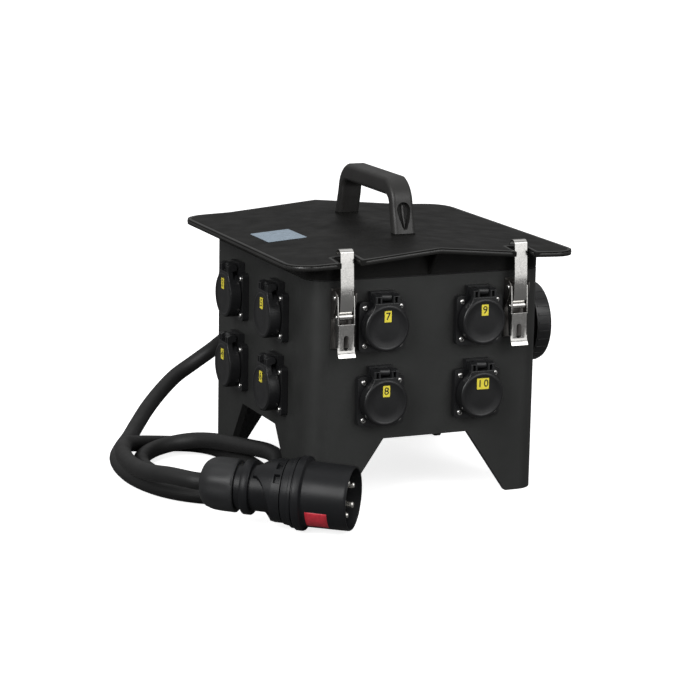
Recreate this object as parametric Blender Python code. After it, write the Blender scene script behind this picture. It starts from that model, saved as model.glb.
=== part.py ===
"""Portable power distribution box: a legged plastic housing with ten flanged socket outlets, a large
round outlet, two toggle latches, a hinged gabled lid with a carrying handle, breakers inside, and a
supply cord that ends in a five pin plug.  Metres, +Z up, front towards -Y."""

import math

import bmesh
import bpy
from mathutils import Matrix, Vector

# Driving dimensions
GAP = 0.0003                    # clearance between pieces that rest on each other
BODY_X = 0.252                  # housing width
BODY_Y = 0.274                  # housing depth
BODY_TOP = 0.2280               # housing rim above the floor
BODY_RADIUS = 0.020             # vertical corners of the housing
WALL = 0.007
HOLE_PLAY = 0.0005              # a wall's hole is larger than its fitting by this much all round
FLOOR_Z = 0.066                 # underside of the housing floor, also the top of the leg cut-outs
CUT_TOP = 0.092                 # width of a leg cut-out at its top
CUT_FOOT = 0.184                # width of a leg cut-out at the ground
GASKET_HEIGHT = 0.0008

LID_X = 0.310
LID_Y = 0.322
LID_RADIUS = 0.026
LID_THICK = 0.0050
LID_SKIRT = 0.0050
LID_RIDGE_Z = 0.2592            # roof height along the ridge
LID_EAVE_Z = 0.2480             # roof height at the side edges
LID_SHOULDER_Z = 0.2498         # roof height at the front and back edges, beyond the gable
LID_SHOULDER_X = 0.100
LATCH_X = 0.094                 # latch centres at the front, hinge centres at the back
NOTCH_WIDTH = 0.0212
NOTCH_INNER_Y = 0.1385          # inner end of the lid's notches

HANDLE_WIDTH = 0.024
HANDLE_FOOT = 0.0790            # outer half length of the handle at its feet
HANDLE_FOOT_LENGTH = 0.0135
HANDLE_PAD = 0.0008             # height of the landings under the handle's feet
HANDLE_SHOULDER = (-0.0490, 0.2860)  # centre (y, z) of the curve between leg and bar
HANDLE_INNER = 0.0100           # radius of that curve on the inside
HANDLE_OUTER = (0.0222, 0.0285)  # and on the outside, where it starts and where it ends
HANDLE_CORNER = 0.0042

SOCKET_FLANGE = 0.050
SOCKET_FLANGE_THICK = 0.007
SOCKET_ROW_Z = (0.1818, 0.1070)
FRONT_SOCKET_X = (-0.0526, 0.0526)
LEFT_SOCKET_Y = (0.0555, -0.0555)
BACK_SOCKET_X = 0.0526
SOCKET_NECK = 0.0213            # radius of the part behind the flange
SOCKET_WELL = 0.0193
CAP_RADIUS = 0.0234
CAP_INNER = 0.0216
CAP_TOP = 0.0200                # cap face above the wall
CAP_HINGE = (0.0295, 0.0120)    # height above the socket centre, distance from the wall
COLLAR_RADIUS = 0.0207
HINGE_BAR = (0.0059, 0.0130)    # inner and outer side of each of the cap's two hinge arms
TOWER_TOP = 0.0068

OUTLET_Z = 0.1450               # centre of the large round outlet on the right side
OUTLET_TOP = 0.0660             # its cap face above the wall
OUTLET_NECK = 0.0330
OUTLET_WELL = 0.0335
OUTLET_FLOOR = 0.0080           # bottom of the well above the wall
OUTLET_HINGE = (0.0470, 0.0470)

CORD_DIAMETER = 0.017
GLAND_X = -0.072
GLAND_Z = 0.108
GLAND_LENGTH = 0.045
GLAND_SHOULDER = 0.017          # end of the gland's body, start of its nut
GLAND_NECK = 0.0140
PLUG_START = Vector((-0.2360, -0.1370, 0.0392))
PLUG_HEADING = math.radians(-38.5)
PLUG_TILT = math.radians(1.3)
PLUG_LENGTH = 0.151
PIN_CIRCLE = 0.0165             # radius that the five pins and the outlet's five contacts lie on
PLUG_FACE = (0.0370, 0.0860)    # joints between nut, rear part and front part
PLUG_CARRIER = 0.1060
PLUG_KEY = math.radians(322)    # turn of the earth pin about the plug's axis

# The box's middle lies off the origin, because the outlet and the gland stand out further on one side.
FRAME_X = -(BODY_X / 2 + OUTLET_TOP - LID_X / 2) / 2
FRAME_Y = -(BODY_Y / 2 + GLAND_LENGTH - LID_Y / 2) / 2

CORD_LEAD = 0.010
# Cord route from the gland to the plug, in the box's own frame
CORD_ROUTE = [
    (-0.0725, 0.2050, 0.1060), (-0.0775, 0.2250, 0.0970),
    (-0.0890, 0.2420, 0.0810), (-0.1080, 0.2505, 0.0652), (-0.1295, 0.2490, 0.0522),
    (-0.1515, 0.2370, 0.0385), (-0.1740, 0.2150, 0.0264), (-0.1950, 0.1870, 0.0166),
    (-0.2145, 0.1560, 0.0102), (-0.2335, 0.1230, 0.0086), (-0.2500, 0.0870, 0.0086),
    (-0.2580, 0.0500, 0.0086), (-0.2590, 0.0080, 0.0086), (-0.2500, -0.0340, 0.0086),
    (-0.2300, -0.0680, 0.0086), (-0.2000, -0.0890, 0.0088), (-0.1670, -0.0920, 0.0140),
    (-0.1390, -0.0770, 0.0225), (-0.1220, -0.0480, 0.0275), (-0.1190, -0.0150, 0.0280),
    (-0.1290, 0.0160, 0.0265), (-0.1410, 0.0450, 0.0245), (-0.1515, 0.0690, 0.0225),
    (-0.1650, 0.0885, 0.0193), (-0.1845, 0.0985, 0.0152), (-0.2070, 0.0955, 0.0114),
    (-0.2255, 0.0785, 0.0089), (-0.2350, 0.0490, 0.0086), (-0.2350, 0.0160, 0.0086),
    (-0.2280, -0.0180, 0.0086), (-0.2120, -0.0470, 0.0086), (-0.1880, -0.0640, 0.0086),
    (-0.1620, -0.0640, 0.0086), (-0.1410, -0.0490, 0.0086), (-0.1300, -0.0220, 0.0086),
    (-0.1280, 0.0100, 0.0086), (-0.1310, 0.0420, 0.0086), (-0.1360, 0.0700, 0.0086),
    (-0.1440, 0.0960, 0.0086), (-0.1600, 0.1140, 0.0087), (-0.1830, 0.1220, 0.0092),
    (-0.2060, 0.1170, 0.0125), (-0.2265, 0.1010, 0.0180), (-0.2430, 0.0800, 0.0240),
    (-0.2570, 0.0470, 0.0270), (-0.2660, 0.0100, 0.0278), (-0.2690, -0.0280, 0.0295),
    (-0.2670, -0.0660, 0.0330), (-0.2570, -0.1040, 0.0385),
]


# Materials ------------------------------------------------------------------------------------------

def material(name, colour, roughness, metallic=0.0):
    made = bpy.data.materials.get(name)
    if made is None:
        made = bpy.data.materials.new(name)
        made.use_nodes = True
        shader = made.node_tree.nodes["Principled BSDF"]
        shader.inputs["Base Color"].default_value = (*colour, 1.0)
        shader.inputs["Roughness"].default_value = roughness
        shader.inputs["Metallic"].default_value = metallic
    return made


def housing_plastic():
    return material("housing_plastic", (0.030, 0.032, 0.033), 0.55)


def lid_plastic():
    return material("lid_plastic", (0.026, 0.026, 0.025), 0.50)


def handle_plastic():
    return material("handle_plastic", (0.030, 0.029, 0.028), 0.48)


def socket_plastic():
    return material("socket_plastic", (0.012, 0.012, 0.013), 0.38)


def plug_plastic():
    return material("plug_plastic", (0.016, 0.017, 0.020), 0.42)


def rubber():
    return material("rubber", (0.014, 0.014, 0.014), 0.75)


def stainless():
    return material("stainless", (0.62, 0.61, 0.60), 0.28, 1.0)


def breaker_plastic():
    return material("breaker_plastic", (0.62, 0.63, 0.62), 0.45)


def toggle_plastic():
    return material("toggle_plastic", (0.03, 0.05, 0.16), 0.40)


def zinc_plate():
    return material("zinc_plate", (0.55, 0.56, 0.57), 0.40, 1.0)


def brass():
    return material("brass", (0.80, 0.78, 0.74), 0.25, 1.0)


# Shape helpers --------------------------------------------------------------------------------------

def add_object(name, mesh_builder, skin, smooth_angle=None):
    mesh = bpy.data.meshes.new(name)
    bmesh.ops.recalc_face_normals(mesh_builder, faces=mesh_builder.faces)
    mesh_builder.to_mesh(mesh)
    mesh_builder.free()
    made = bpy.data.objects.new(name, mesh)
    bpy.context.scene.collection.objects.link(made)
    if skin is not None:
        made.data.materials.append(skin)
    if smooth_angle is not None:
        smooth(made, smooth_angle)
    return made


def smooth(piece, degrees=35):
    piece.data.shade_smooth()
    piece.data.set_sharp_from_angle(angle=math.radians(degrees))


def box(name, low, high, skin=None):
    builder = bmesh.new()
    bmesh.ops.create_cube(builder, size=1.0)
    for vertex in builder.verts:
        for axis in range(3):
            middle = (low[axis] + high[axis]) / 2
            vertex.co[axis] = middle + vertex.co[axis] * (high[axis] - low[axis])
    return add_object(name, builder, skin)


def prism(name, outline, low, high, skin=None, axes="XYZ"):
    """An outline in the first two axes, extruded along the third from low to high."""
    order = ["XYZ".index(letter) for letter in axes]
    builder = bmesh.new()
    rings = []
    for level in (low, high):
        ring = []
        for first, second in outline:
            point = [0.0, 0.0, 0.0]
            point[order[0]] = first
            point[order[1]] = second
            point[order[2]] = level
            ring.append(builder.verts.new(point))
        rings.append(ring)
    count = len(outline)
    builder.faces.new(rings[0])
    builder.faces.new(rings[1])
    for index in range(count):
        after = (index + 1) % count
        builder.faces.new((rings[0][index], rings[0][after], rings[1][after], rings[1][index]))
    return add_object(name, builder, skin)


def turned(name, profile, skin=None, segments=24):
    """A solid of revolution about Z; the profile runs from the axis out and back to the axis."""
    builder = bmesh.new()
    rings = []
    for radius, height in profile:
        if radius == 0.0:
            rings.append([builder.verts.new((0.0, 0.0, height))])
            continue
        ring = []
        for index in range(segments):
            angle = 2 * math.pi * index / segments
            ring.append(builder.verts.new((radius * math.cos(angle), radius * math.sin(angle), height)))
        rings.append(ring)
    for ring, following in zip(rings, rings[1:]):
        for index in range(segments):
            after = (index + 1) % segments
            if len(ring) == 1:
                builder.faces.new((ring[0], following[index], following[after]))
            elif len(following) == 1:
                builder.faces.new((ring[index], ring[after], following[0]))
            else:
                builder.faces.new((ring[index], ring[after], following[after], following[index]))
    return add_object(name, builder, skin, 35)


def cylinder(name, radius, low, high, skin=None, segments=24):
    return turned(name, [(0.0, low), (radius, low), (radius, high), (0.0, high)], skin, segments)


def rounded_rectangle(width, depth, radius, steps=6, centre=(0.0, 0.0)):
    points = []
    corners = ((1, 1, 0), (-1, 1, 90), (-1, -1, 180), (1, -1, 270))
    for side_x, side_y, start in corners:
        for step in range(steps + 1):
            angle = math.radians(start + 90 * step / steps)
            x = side_x * (width / 2 - radius) + radius * math.cos(angle)
            y = side_y * (depth / 2 - radius) + radius * math.sin(angle)
            points.append((centre[0] + x, centre[1] + y))
    return points


def ribbon(path, thickness):
    """The outline of a bent strip whose middle line is the path."""
    left = []
    right = []
    for index, point in enumerate(path):
        before = Vector(path[max(index - 1, 0)])
        after = Vector(path[min(index + 1, len(path) - 1)])
        along = (after - before).normalized()
        across = Vector((-along.y, along.x)) * thickness / 2
        left.append(tuple(Vector(point) + across))
        right.append(tuple(Vector(point) - across))
    return left + right[::-1]


def arc(centre, radius, start, end, steps):
    points = []
    for step in range(steps + 1):
        angle = math.radians(start + (end - start) * step / steps)
        points.append((centre[0] + radius * math.cos(angle), centre[1] + radius * math.sin(angle)))
    return points


def turn(piece, turning):
    piece.data.transform(turning)
    return piece


def combine(target, others, operation):
    """Bake Boolean operations into the target and drop the other shapes."""
    for other in others:
        other.hide_render = True
        other.display_type = "WIRE"
        step = target.modifiers.new(operation.lower(), "BOOLEAN")
        step.operation = operation
        step.object = other
    bpy.context.view_layer.update()
    graph = bpy.context.evaluated_depsgraph_get()
    baked = bpy.data.meshes.new_from_object(target.evaluated_get(graph))
    target.modifiers.clear()
    target.data = baked
    for other in others:
        bpy.data.objects.remove(other)
    return target


def place(piece, holder, location, rotation=None):
    piece.parent = holder
    piece.location = location
    if rotation is not None:
        piece.rotation_euler = rotation.to_euler()
    return piece


def wall_frame(side, along, height):
    """Position and rotation of a fitting on a wall: local X along the wall, Y up, Z out of it."""
    outward = {
        "front": Vector((0, -1, 0)),
        "back": Vector((0, 1, 0)),
        "left": Vector((-1, 0, 0)),
        "right": Vector((1, 0, 0)),
    }[side]
    up = Vector((0, 0, 1))
    across = up.cross(outward)
    rotation = Matrix((across, up, outward)).transposed()
    reach = BODY_Y / 2 if side in ("front", "back") else BODY_X / 2
    position = outward * reach + up * height
    if side in ("front", "back"):
        position.x = along
    else:
        position.y = along
    return position, rotation


# Housing --------------------------------------------------------------------------------------------

def socket_places():
    """Name, wall, place along the wall and height of every small outlet."""
    places = []
    for column, x in zip("ab", FRONT_SOCKET_X):
        for row, z in zip(("upper", "lower"), SOCKET_ROW_Z):
            places.append((f"front_{column}_{row}", "front", x, z))
    for column, y in zip("ab", LEFT_SOCKET_Y):
        for row, z in zip(("upper", "lower"), SOCKET_ROW_Z):
            places.append((f"left_{column}_{row}", "left", y, z))
    for row, z in zip(("upper", "lower"), SOCKET_ROW_Z):
        places.append((f"back_{row}", "back", BACK_SOCKET_X, z))
    return places


def wall_hole(side, along, height, radius, segments=20):
    hole = cylinder("hole", radius, -3 * WALL, 3 * WALL, None, segments)
    position, rotation = wall_frame(side, along, height)
    return turn(hole, Matrix.Translation(position) @ rotation.to_4x4())


def leg_cutter(axes, reach):
    outline = [
        (-CUT_FOOT / 2, -0.001), (CUT_FOOT / 2, -0.001),
        (CUT_TOP / 2, FLOOR_Z), (-CUT_TOP / 2, FLOOR_Z),
    ]
    return prism("cutter", outline, -reach, reach, None, axes)


def build_housing(holder):
    housing = prism("housing", rounded_rectangle(BODY_X, BODY_Y, BODY_RADIUS), 0.0, BODY_TOP,
                    housing_plastic())
    inside = rounded_rectangle(BODY_X - 2 * WALL, BODY_Y - 2 * WALL, BODY_RADIUS - WALL)
    cutters = [
        prism("cutter", inside, FLOOR_Z + WALL, BODY_TOP + 0.01),
        prism("cutter", inside, -0.01, FLOOR_Z),
        leg_cutter("XZY", BODY_Y),
        leg_cutter("YZX", BODY_X),
        wall_hole("right", 0.0, OUTLET_Z, OUTLET_NECK + HOLE_PLAY, 32),
        wall_hole("back", GLAND_X, GLAND_Z, GLAND_NECK + HOLE_PLAY),
    ]
    for _, side, along, height in socket_places():
        cutters.append(wall_hole(side, along, height, SOCKET_NECK + HOLE_PLAY))
    combine(housing, cutters, "DIFFERENCE")
    smooth(housing)
    return place(housing, holder, (0, 0, 0))


def ring_outline(name, outer, inner, low, high, skin):
    """A closed band between two outlines that have the same number of points."""
    builder = bmesh.new()
    rings = []
    for outline, level in ((outer, low), (outer, high), (inner, high), (inner, low)):
        rings.append([builder.verts.new((x, y, level)) for x, y in outline])
    count = len(outer)
    for ring, following in zip(rings, rings[1:] + rings[:1]):
        for index in range(count):
            after = (index + 1) % count
            builder.faces.new((ring[index], ring[after], following[after], following[index]))
    return add_object(name, builder, skin, 35)


def build_gasket(holder):
    inset = 0.0012
    width = 0.0042
    outer = rounded_rectangle(BODY_X - 2 * inset, BODY_Y - 2 * inset, BODY_RADIUS - inset)
    inner_inset = inset + width
    inner = rounded_rectangle(BODY_X - 2 * inner_inset, BODY_Y - 2 * inner_inset, BODY_RADIUS - inner_inset)
    gasket = ring_outline("lid_gasket", outer, inner, BODY_TOP + GAP, BODY_TOP + GAP + GASKET_HEIGHT, rubber())
    return place(gasket, holder, (0, 0, 0))


# Lid ------------------------------------------------------------------------------------------------

def roof_height(x, y):
    """The roof falls from its ridge to the side edges, and a little more at the front and back edges."""
    across = min(abs(x) / (LID_X / 2), 1.0)
    middle = LID_RIDGE_Z + (LID_EAVE_Z - LID_RIDGE_Z) * across
    if abs(x) < LID_SHOULDER_X:
        edge = LID_RIDGE_Z + (LID_SHOULDER_Z - LID_RIDGE_Z) * abs(x) / LID_SHOULDER_X
    else:
        beyond = (abs(x) - LID_SHOULDER_X) / (LID_X / 2 - LID_SHOULDER_X)
        edge = LID_SHOULDER_Z + (LID_EAVE_Z - LID_SHOULDER_Z) * min(beyond, 1.0)
    start = BODY_Y / 2
    weight = min(max((abs(y) - start) / (LID_Y / 2 - start), 0.0), 1.0)
    return middle + (edge - middle) * weight


def lid_outline():
    """Rounded rectangle with two notches in its front edge for the latch straps."""
    points = []
    half_x = LID_X / 2
    half_y = LID_Y / 2
    for side_x, side_y, start in ((1, 1, 0), (-1, 1, 90), (-1, -1, 180), (1, -1, 270)):
        centre = (side_x * (half_x - LID_RADIUS), side_y * (half_y - LID_RADIUS))
        points.extend(arc(centre, LID_RADIUS, start, start + 90, 6))
        if start == 180:
            for centre_x in (-LATCH_X, LATCH_X):
                near = centre_x - NOTCH_WIDTH / 2
                far = centre_x + NOTCH_WIDTH / 2
                points.append((near, -half_y))
                points.append((near, -NOTCH_INNER_Y))
                points.append((far, -NOTCH_INNER_Y))
                points.append((far, -half_y))
    return points


def build_roof():
    """The roof plate: a flat plate cut along the fold lines and lifted to the roof's height."""
    plate = prism("lid", lid_outline(), -LID_THICK, 0.0, lid_plastic())
    builder = bmesh.new()
    builder.from_mesh(plate.data)
    folds = [((x, 0, 0), (1, 0, 0)) for x in (-LID_SHOULDER_X, 0.0, LID_SHOULDER_X)]
    folds += [((0, y, 0), (0, 1, 0)) for y in (-BODY_Y / 2, BODY_Y / 2)]
    for point, normal in folds:
        everything = builder.verts[:] + builder.edges[:] + builder.faces[:]
        bmesh.ops.bisect_plane(builder, geom=everything, dist=1e-6, plane_co=point, plane_no=normal)
    bmesh.ops.triangulate(builder, faces=builder.faces[:])
    for vertex in builder.verts:
        vertex.co.z += roof_height(vertex.co.x, vertex.co.y)
    builder.to_mesh(plate.data)
    builder.free()
    return plate


def build_lid(holder):
    lid = build_roof()
    outer = rounded_rectangle(BODY_X, BODY_Y, BODY_RADIUS)
    inner = rounded_rectangle(BODY_X - 2 * LID_SKIRT, BODY_Y - 2 * LID_SKIRT, BODY_RADIUS - LID_SKIRT)
    low = BODY_TOP + 2 * GAP + GASKET_HEIGHT
    skirt = ring_outline("skirt", outer, inner, low, LID_EAVE_Z - LID_THICK / 2, None)
    raise_skirt(skirt)
    parts = [skirt]
    for side in (-1, 1):
        parts += [gusset(side, low), handle_pad(side)]
    combine(lid, parts, "UNION")
    smooth(lid, 30)
    return place(lid, holder, (0, 0, 0))


def raise_skirt(skirt):
    """Raise the skirt's top edge into the middle of the roof plate."""
    builder = bmesh.new()
    builder.from_mesh(skirt.data)
    for x in (-LID_SHOULDER_X, 0.0, LID_SHOULDER_X):
        everything = builder.verts[:] + builder.edges[:] + builder.faces[:]
        bmesh.ops.bisect_plane(builder, geom=everything, dist=1e-6, plane_co=(x, 0, 0), plane_no=(1, 0, 0))
    for vertex in builder.verts:
        if vertex.co.z > BODY_TOP + 0.01:
            vertex.co.z = roof_height(vertex.co.x, vertex.co.y) - LID_THICK / 2
    bmesh.ops.triangulate(builder, faces=builder.faces[:])
    builder.to_mesh(skirt.data)
    builder.free()


def gusset(side, low):
    """Triangular rib under the gable's peak, from the skirt to the brim."""
    reach = LID_Y / 2 - 0.003
    top = LID_RIDGE_Z - LID_THICK / 2
    outline = [
        (side * (BODY_Y / 2 - 0.002), low), (side * BODY_Y / 2, low),
        (side * reach, top - 0.001), (side * reach, top), (side * (BODY_Y / 2 - 0.002), top),
    ]
    return prism("gusset", outline, -0.0012, 0.0012, None, "YZX")


def handle_pad(side):
    """Flat landing on the ridge for one foot of the handle."""
    inset = 0.001
    near, far = sorted((side * (HANDLE_FOOT - HANDLE_FOOT_LENGTH + inset), side * (HANDLE_FOOT - inset)))
    half = HANDLE_WIDTH / 2 - inset
    return box("pad", (-half, near, LID_RIDGE_Z - LID_THICK / 2), (half, far, LID_RIDGE_Z + HANDLE_PAD))


def handle_stations():
    """Inner and outer points (y, z) of the handle's cross-sections, from one foot to the other."""
    foot_z = LID_RIDGE_Z + HANDLE_PAD + GAP
    half = [
        ((-HANDLE_FOOT + HANDLE_FOOT_LENGTH, foot_z), (-HANDLE_FOOT, foot_z)),
        ((-0.0622, 0.2720), (-0.0757, 0.2720)),
        ((-0.0598, 0.2810), (-0.0728, 0.2815)),
    ]
    steps = 5
    for step in range(steps + 1):
        angle = math.radians(172 - 82 * step / steps)
        blend = step / steps
        low, high = HANDLE_OUTER
        outer_radius = low + (high - low) * blend ** 2
        centre = Vector(HANDLE_SHOULDER)
        direction = Vector((math.cos(angle), math.sin(angle)))
        half.append((tuple(centre + HANDLE_INNER * direction), tuple(centre + outer_radius * direction)))
    mirrored = [((-inner[0], inner[1]), (-outer[0], outer[1])) for inner, outer in half[::-1]]
    return half + mirrored


def build_handle(holder):
    builder = bmesh.new()
    rings = []
    for inner, outer in handle_stations():
        inner = Vector(inner)
        outer = Vector(outer)
        span = (outer - inner).length
        section = rounded_rectangle(HANDLE_WIDTH, span, HANDLE_CORNER, 2)
        ring = []
        for x, along in section:
            point = inner + (outer - inner) * (along / span + 0.5)
            ring.append(builder.verts.new((x, point.x, point.y)))
        rings.append(ring)
    for ring, following in zip(rings, rings[1:]):
        count = len(ring)
        for index in range(count):
            after = (index + 1) % count
            builder.faces.new((ring[index], ring[after], following[after], following[index]))
    builder.faces.new(rings[0])
    builder.faces.new(rings[-1])
    handle = add_object("handle", builder, handle_plastic(), 40)
    return place(handle, holder, (0, 0, 0))


# Lid hinges -----------------------------------------------------------------------------------------

HINGE_HEIGHT = BODY_TOP + 0.0010  # pin height, at the joint line between housing and lid
HINGE_OUT = 0.0040              # pin's distance from the wall
HINGE_KNUCKLE = 0.0034          # knuckle radius
HINGE_HALF = 0.0150             # half the hinge's length
HINGE_CENTRE = 0.0058           # half length of the middle knuckle
HINGE_SHEET = 0.0015


def hinge_knuckle(low, high):
    knuckle = cylinder("knuckle", HINGE_KNUCKLE, low, high, None, 14)
    place_pin = Matrix.Translation((0, HINGE_HEIGHT, HINGE_OUT)) @ Matrix.Rotation(math.pi / 2, 4, "Y")
    return turn(knuckle, place_pin)


def build_lid_hinge(holder, name, along):
    """Butt hinge under the rear brim: one leaf on the housing, the other on the lid's skirt."""
    ground, rotation = wall_frame("back", along, 0.0)
    near = GAP
    far = GAP + HINGE_SHEET
    reach = HINGE_KNUCKLE + GAP
    lower = box("leaf", (-HINGE_HALF, HINGE_HEIGHT - 0.0250, near), (HINGE_HALF, HINGE_HEIGHT - reach, far),
                stainless())
    tongue = box("tongue", (-HINGE_CENTRE, HINGE_HEIGHT - 0.0100, near), (HINGE_CENTRE, HINGE_HEIGHT, far))
    combine(lower, [tongue, hinge_knuckle(-HINGE_CENTRE, HINGE_CENTRE)], "UNION")
    smooth(lower)
    lower.name = f"lid_hinge_housing_leaf_{name}"
    place(lower, holder, ground, rotation)

    upper = box("leaf", (-HINGE_HALF, HINGE_HEIGHT + reach, near), (HINGE_HALF, HINGE_HEIGHT + 0.0150, far),
                stainless())
    parts = []
    for side in (-1, 1):
        low, high = sorted((side * (HINGE_CENTRE + GAP), side * HINGE_HALF))
        parts.append(box("tongue", (low, HINGE_HEIGHT, near), (high, HINGE_HEIGHT + 0.0100, far)))
        parts.append(hinge_knuckle(low, high))
    combine(upper, parts, "UNION")
    smooth(upper)
    upper.name = f"lid_hinge_lid_leaf_{name}"
    place(upper, holder, ground, rotation)


# Small outlets --------------------------------------------------------------------------------------

def socket_body_mesh():
    """Flanged body with a collar round its well, and the fixed middle part of the cap's hinge."""
    segments = 16
    back = -0.030
    body = cylinder("socket_body", SOCKET_NECK, back, SOCKET_FLANGE_THICK - 0.001, socket_plastic(), segments)
    flange = prism("flange", rounded_rectangle(SOCKET_FLANGE, SOCKET_FLANGE, 0.004, 2), GAP,
                   SOCKET_FLANGE_THICK)
    collar = cylinder("collar", COLLAR_RADIUS, 0.004, 0.0140, None, segments)
    tower_low = SOCKET_FLANGE / 2 - 0.002
    tower = box("tower", (-HINGE_BAR[1], tower_low, GAP), (HINGE_BAR[1], 0.0345, TOWER_TOP))
    hinge_up, hinge_out = CAP_HINGE
    half = HINGE_BAR[0] - 0.0004
    crown = arc((hinge_up, hinge_out), 0.0040, 0, 180, 6)
    stem = prism("stem", [(0.0255, TOWER_TOP - 0.001)] + [(0.0335, TOWER_TOP - 0.001)] + crown, -half, half,
                 None, "YZX")
    combine(body, [flange, collar, tower, stem], "UNION")
    well = cylinder("well", SOCKET_WELL, -0.0035, 0.0200, None, segments)
    combine(body, [well], "DIFFERENCE")
    smooth(body)
    return body


def socket_cap_mesh():
    """Sprung cap with two slotted hinge arms, modelled about its hinge axis."""
    face = CAP_TOP - 0.0012
    low, high = HINGE_BAR
    cap = turned("socket_cap", [
        (0.0, 0.0150), (CAP_INNER, 0.0150), (CAP_INNER, 0.0076), (CAP_RADIUS, 0.0076), (CAP_RADIUS, 0.0180),
        (CAP_RADIUS - 0.0018, CAP_TOP), (0.0, CAP_TOP),
    ], socket_plastic(), 20)
    relief = box("relief", (-0.0150, 0.0165, 0.0070), (0.0150, 0.0260, 0.0112))
    combine(cap, [relief], "DIFFERENCE")
    shoulder = [
        (-0.0200, 0.0100), (0.0200, 0.0100), (high, 0.0235), (high, 0.0270), (low, 0.0270), (low, 0.0262),
        (-low, 0.0262), (-low, 0.0270), (-high, 0.0270), (-high, 0.0235),
    ]
    parts = [prism("arm", shoulder, 0.0152, face, None)]
    bar = [
        (0.0240, face), (0.0240, 0.0153), (0.0262, 0.0120), (0.0272, 0.0090), (0.0318, 0.0090),
        (0.0333, 0.0120), (0.0333, 0.0150), (0.0315, face),
    ]
    windows = []
    for side in (-1, 1):
        near, far = sorted((side * low, side * high))
        parts.append(prism("bar", bar, near, far, None, "YZX"))
        near, far = sorted((side * 0.0080, side * 0.0103))
        windows.append(box("window", (near, 0.0245, 0.0160), (far, 0.0300, 0.0200)))
    combine(cap, parts, "UNION")
    combine(cap, windows, "DIFFERENCE")
    hinge_up, hinge_out = CAP_HINGE
    turn(cap, Matrix.Translation((0, -hinge_up, -hinge_out)))
    smooth(cap)
    return cap


def build_sockets(holder):
    body = socket_body_mesh()
    cap = socket_cap_mesh()
    for name, side, along, height in socket_places():
        position, rotation = wall_frame(side, along, height)
        copy = bpy.data.objects.new(f"socket_{name}", body.data)
        bpy.context.scene.collection.objects.link(copy)
        place(copy, holder, position, rotation)
        lid = bpy.data.objects.new(f"cap_{name}", cap.data)
        bpy.context.scene.collection.objects.link(lid)
        hinge = position + rotation @ Vector((0, *CAP_HINGE))
        place(lid, holder, hinge, rotation)
    bpy.data.objects.remove(body)
    bpy.data.objects.remove(cap)


# Large round outlet ---------------------------------------------------------------------------------

def build_outlet(holder):
    position, rotation = wall_frame("right", 0.0, OUTLET_Z)
    segments = 32
    body = cylinder("outlet_body", OUTLET_NECK, -0.022, 0.0050, socket_plastic(), segments)
    flange = prism("flange", rounded_rectangle(0.084, 0.084, 0.008, 3), GAP, 0.0065)
    barrel = cylinder("barrel", 0.0376, 0.0040, 0.0512, None, segments)
    hinge_up, hinge_out = OUTLET_HINGE
    ears = []
    for side in (-1, 1):
        low, high = sorted((side * 0.0092, side * 0.0135))
        ear = [(0.0330, 0.0280), (0.0480, 0.0380), (0.0525, 0.0440), (0.0530, 0.0480),
               (0.0500, 0.0512), (0.0455, 0.0510), (0.0430, 0.0480), (0.0430, 0.0454), (0.0330, 0.0454)]
        ears.append(prism("ear", ear, low, high, None, "YZX"))
    combine(body, [flange, barrel] + ears, "UNION")
    well = cylinder("well", OUTLET_WELL, OUTLET_FLOOR, 0.0600, None, segments)
    combine(body, [well], "DIFFERENCE")
    smooth(body)
    place(body, holder, position, rotation)

    insert = cylinder("outlet_insert", 0.0250, OUTLET_FLOOR + GAP, 0.0440, socket_plastic(), segments)
    contacts = []
    for index in range(5):
        angle = math.radians(270 + 72 * index)
        radius = 0.0040 if index == 0 else 0.0033
        contact = cylinder("contact", radius, 0.0200, 0.0500, None, 10)
        turn(contact, Matrix.Translation((PIN_CIRCLE * math.cos(angle), PIN_CIRCLE * math.sin(angle), 0)))
        contacts.append(contact)
    combine(insert, contacts, "DIFFERENCE")
    smooth(insert)
    place(insert, holder, position, rotation)

    cap = turned("outlet_cap", [
        (0.0, 0.0520), (0.0384, 0.0520), (0.0384, 0.0462), (0.0425, 0.0462), (0.0425, 0.0610),
        (0.0415, 0.0632), (0.0390, 0.0640), (0.0360, OUTLET_TOP), (0.0, OUTLET_TOP),
    ], socket_plastic(), segments)
    arm = prism("arm", [(0.0390, 0.0470), (0.0510, 0.0470), (0.0510, 0.0540), (0.0390, 0.0600)],
                -0.0086, 0.0086, None, "YZX")
    knuckle = cylinder("knuckle", 0.0042, -0.0086, 0.0086, None, 14)
    turn(knuckle, Matrix.Translation((0, hinge_up, hinge_out)) @ Matrix.Rotation(math.pi / 2, 4, "Y"))
    combine(cap, [arm, knuckle], "UNION")
    turn(cap, Matrix.Translation((0, -hinge_up, -hinge_out)))
    smooth(cap)
    place(cap, holder, position + rotation @ Vector((0, hinge_up, hinge_out)), rotation)


# Toggle latches -------------------------------------------------------------------------------------

LATCH_PIVOT = (0.2130, 0.0085)   # height, distance from the wall: lever on base
STRAP_PIVOT = (0.1940, 0.0090)   # height, distance from the wall: strap on lever
EAR_OUTER = 0.0111
LEVER_HALF = 0.0092
STRAP_HALF = 0.0070
SHEET = 0.0013
LEVER_FRONT = 0.0138             # lever's face above the wall


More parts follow.
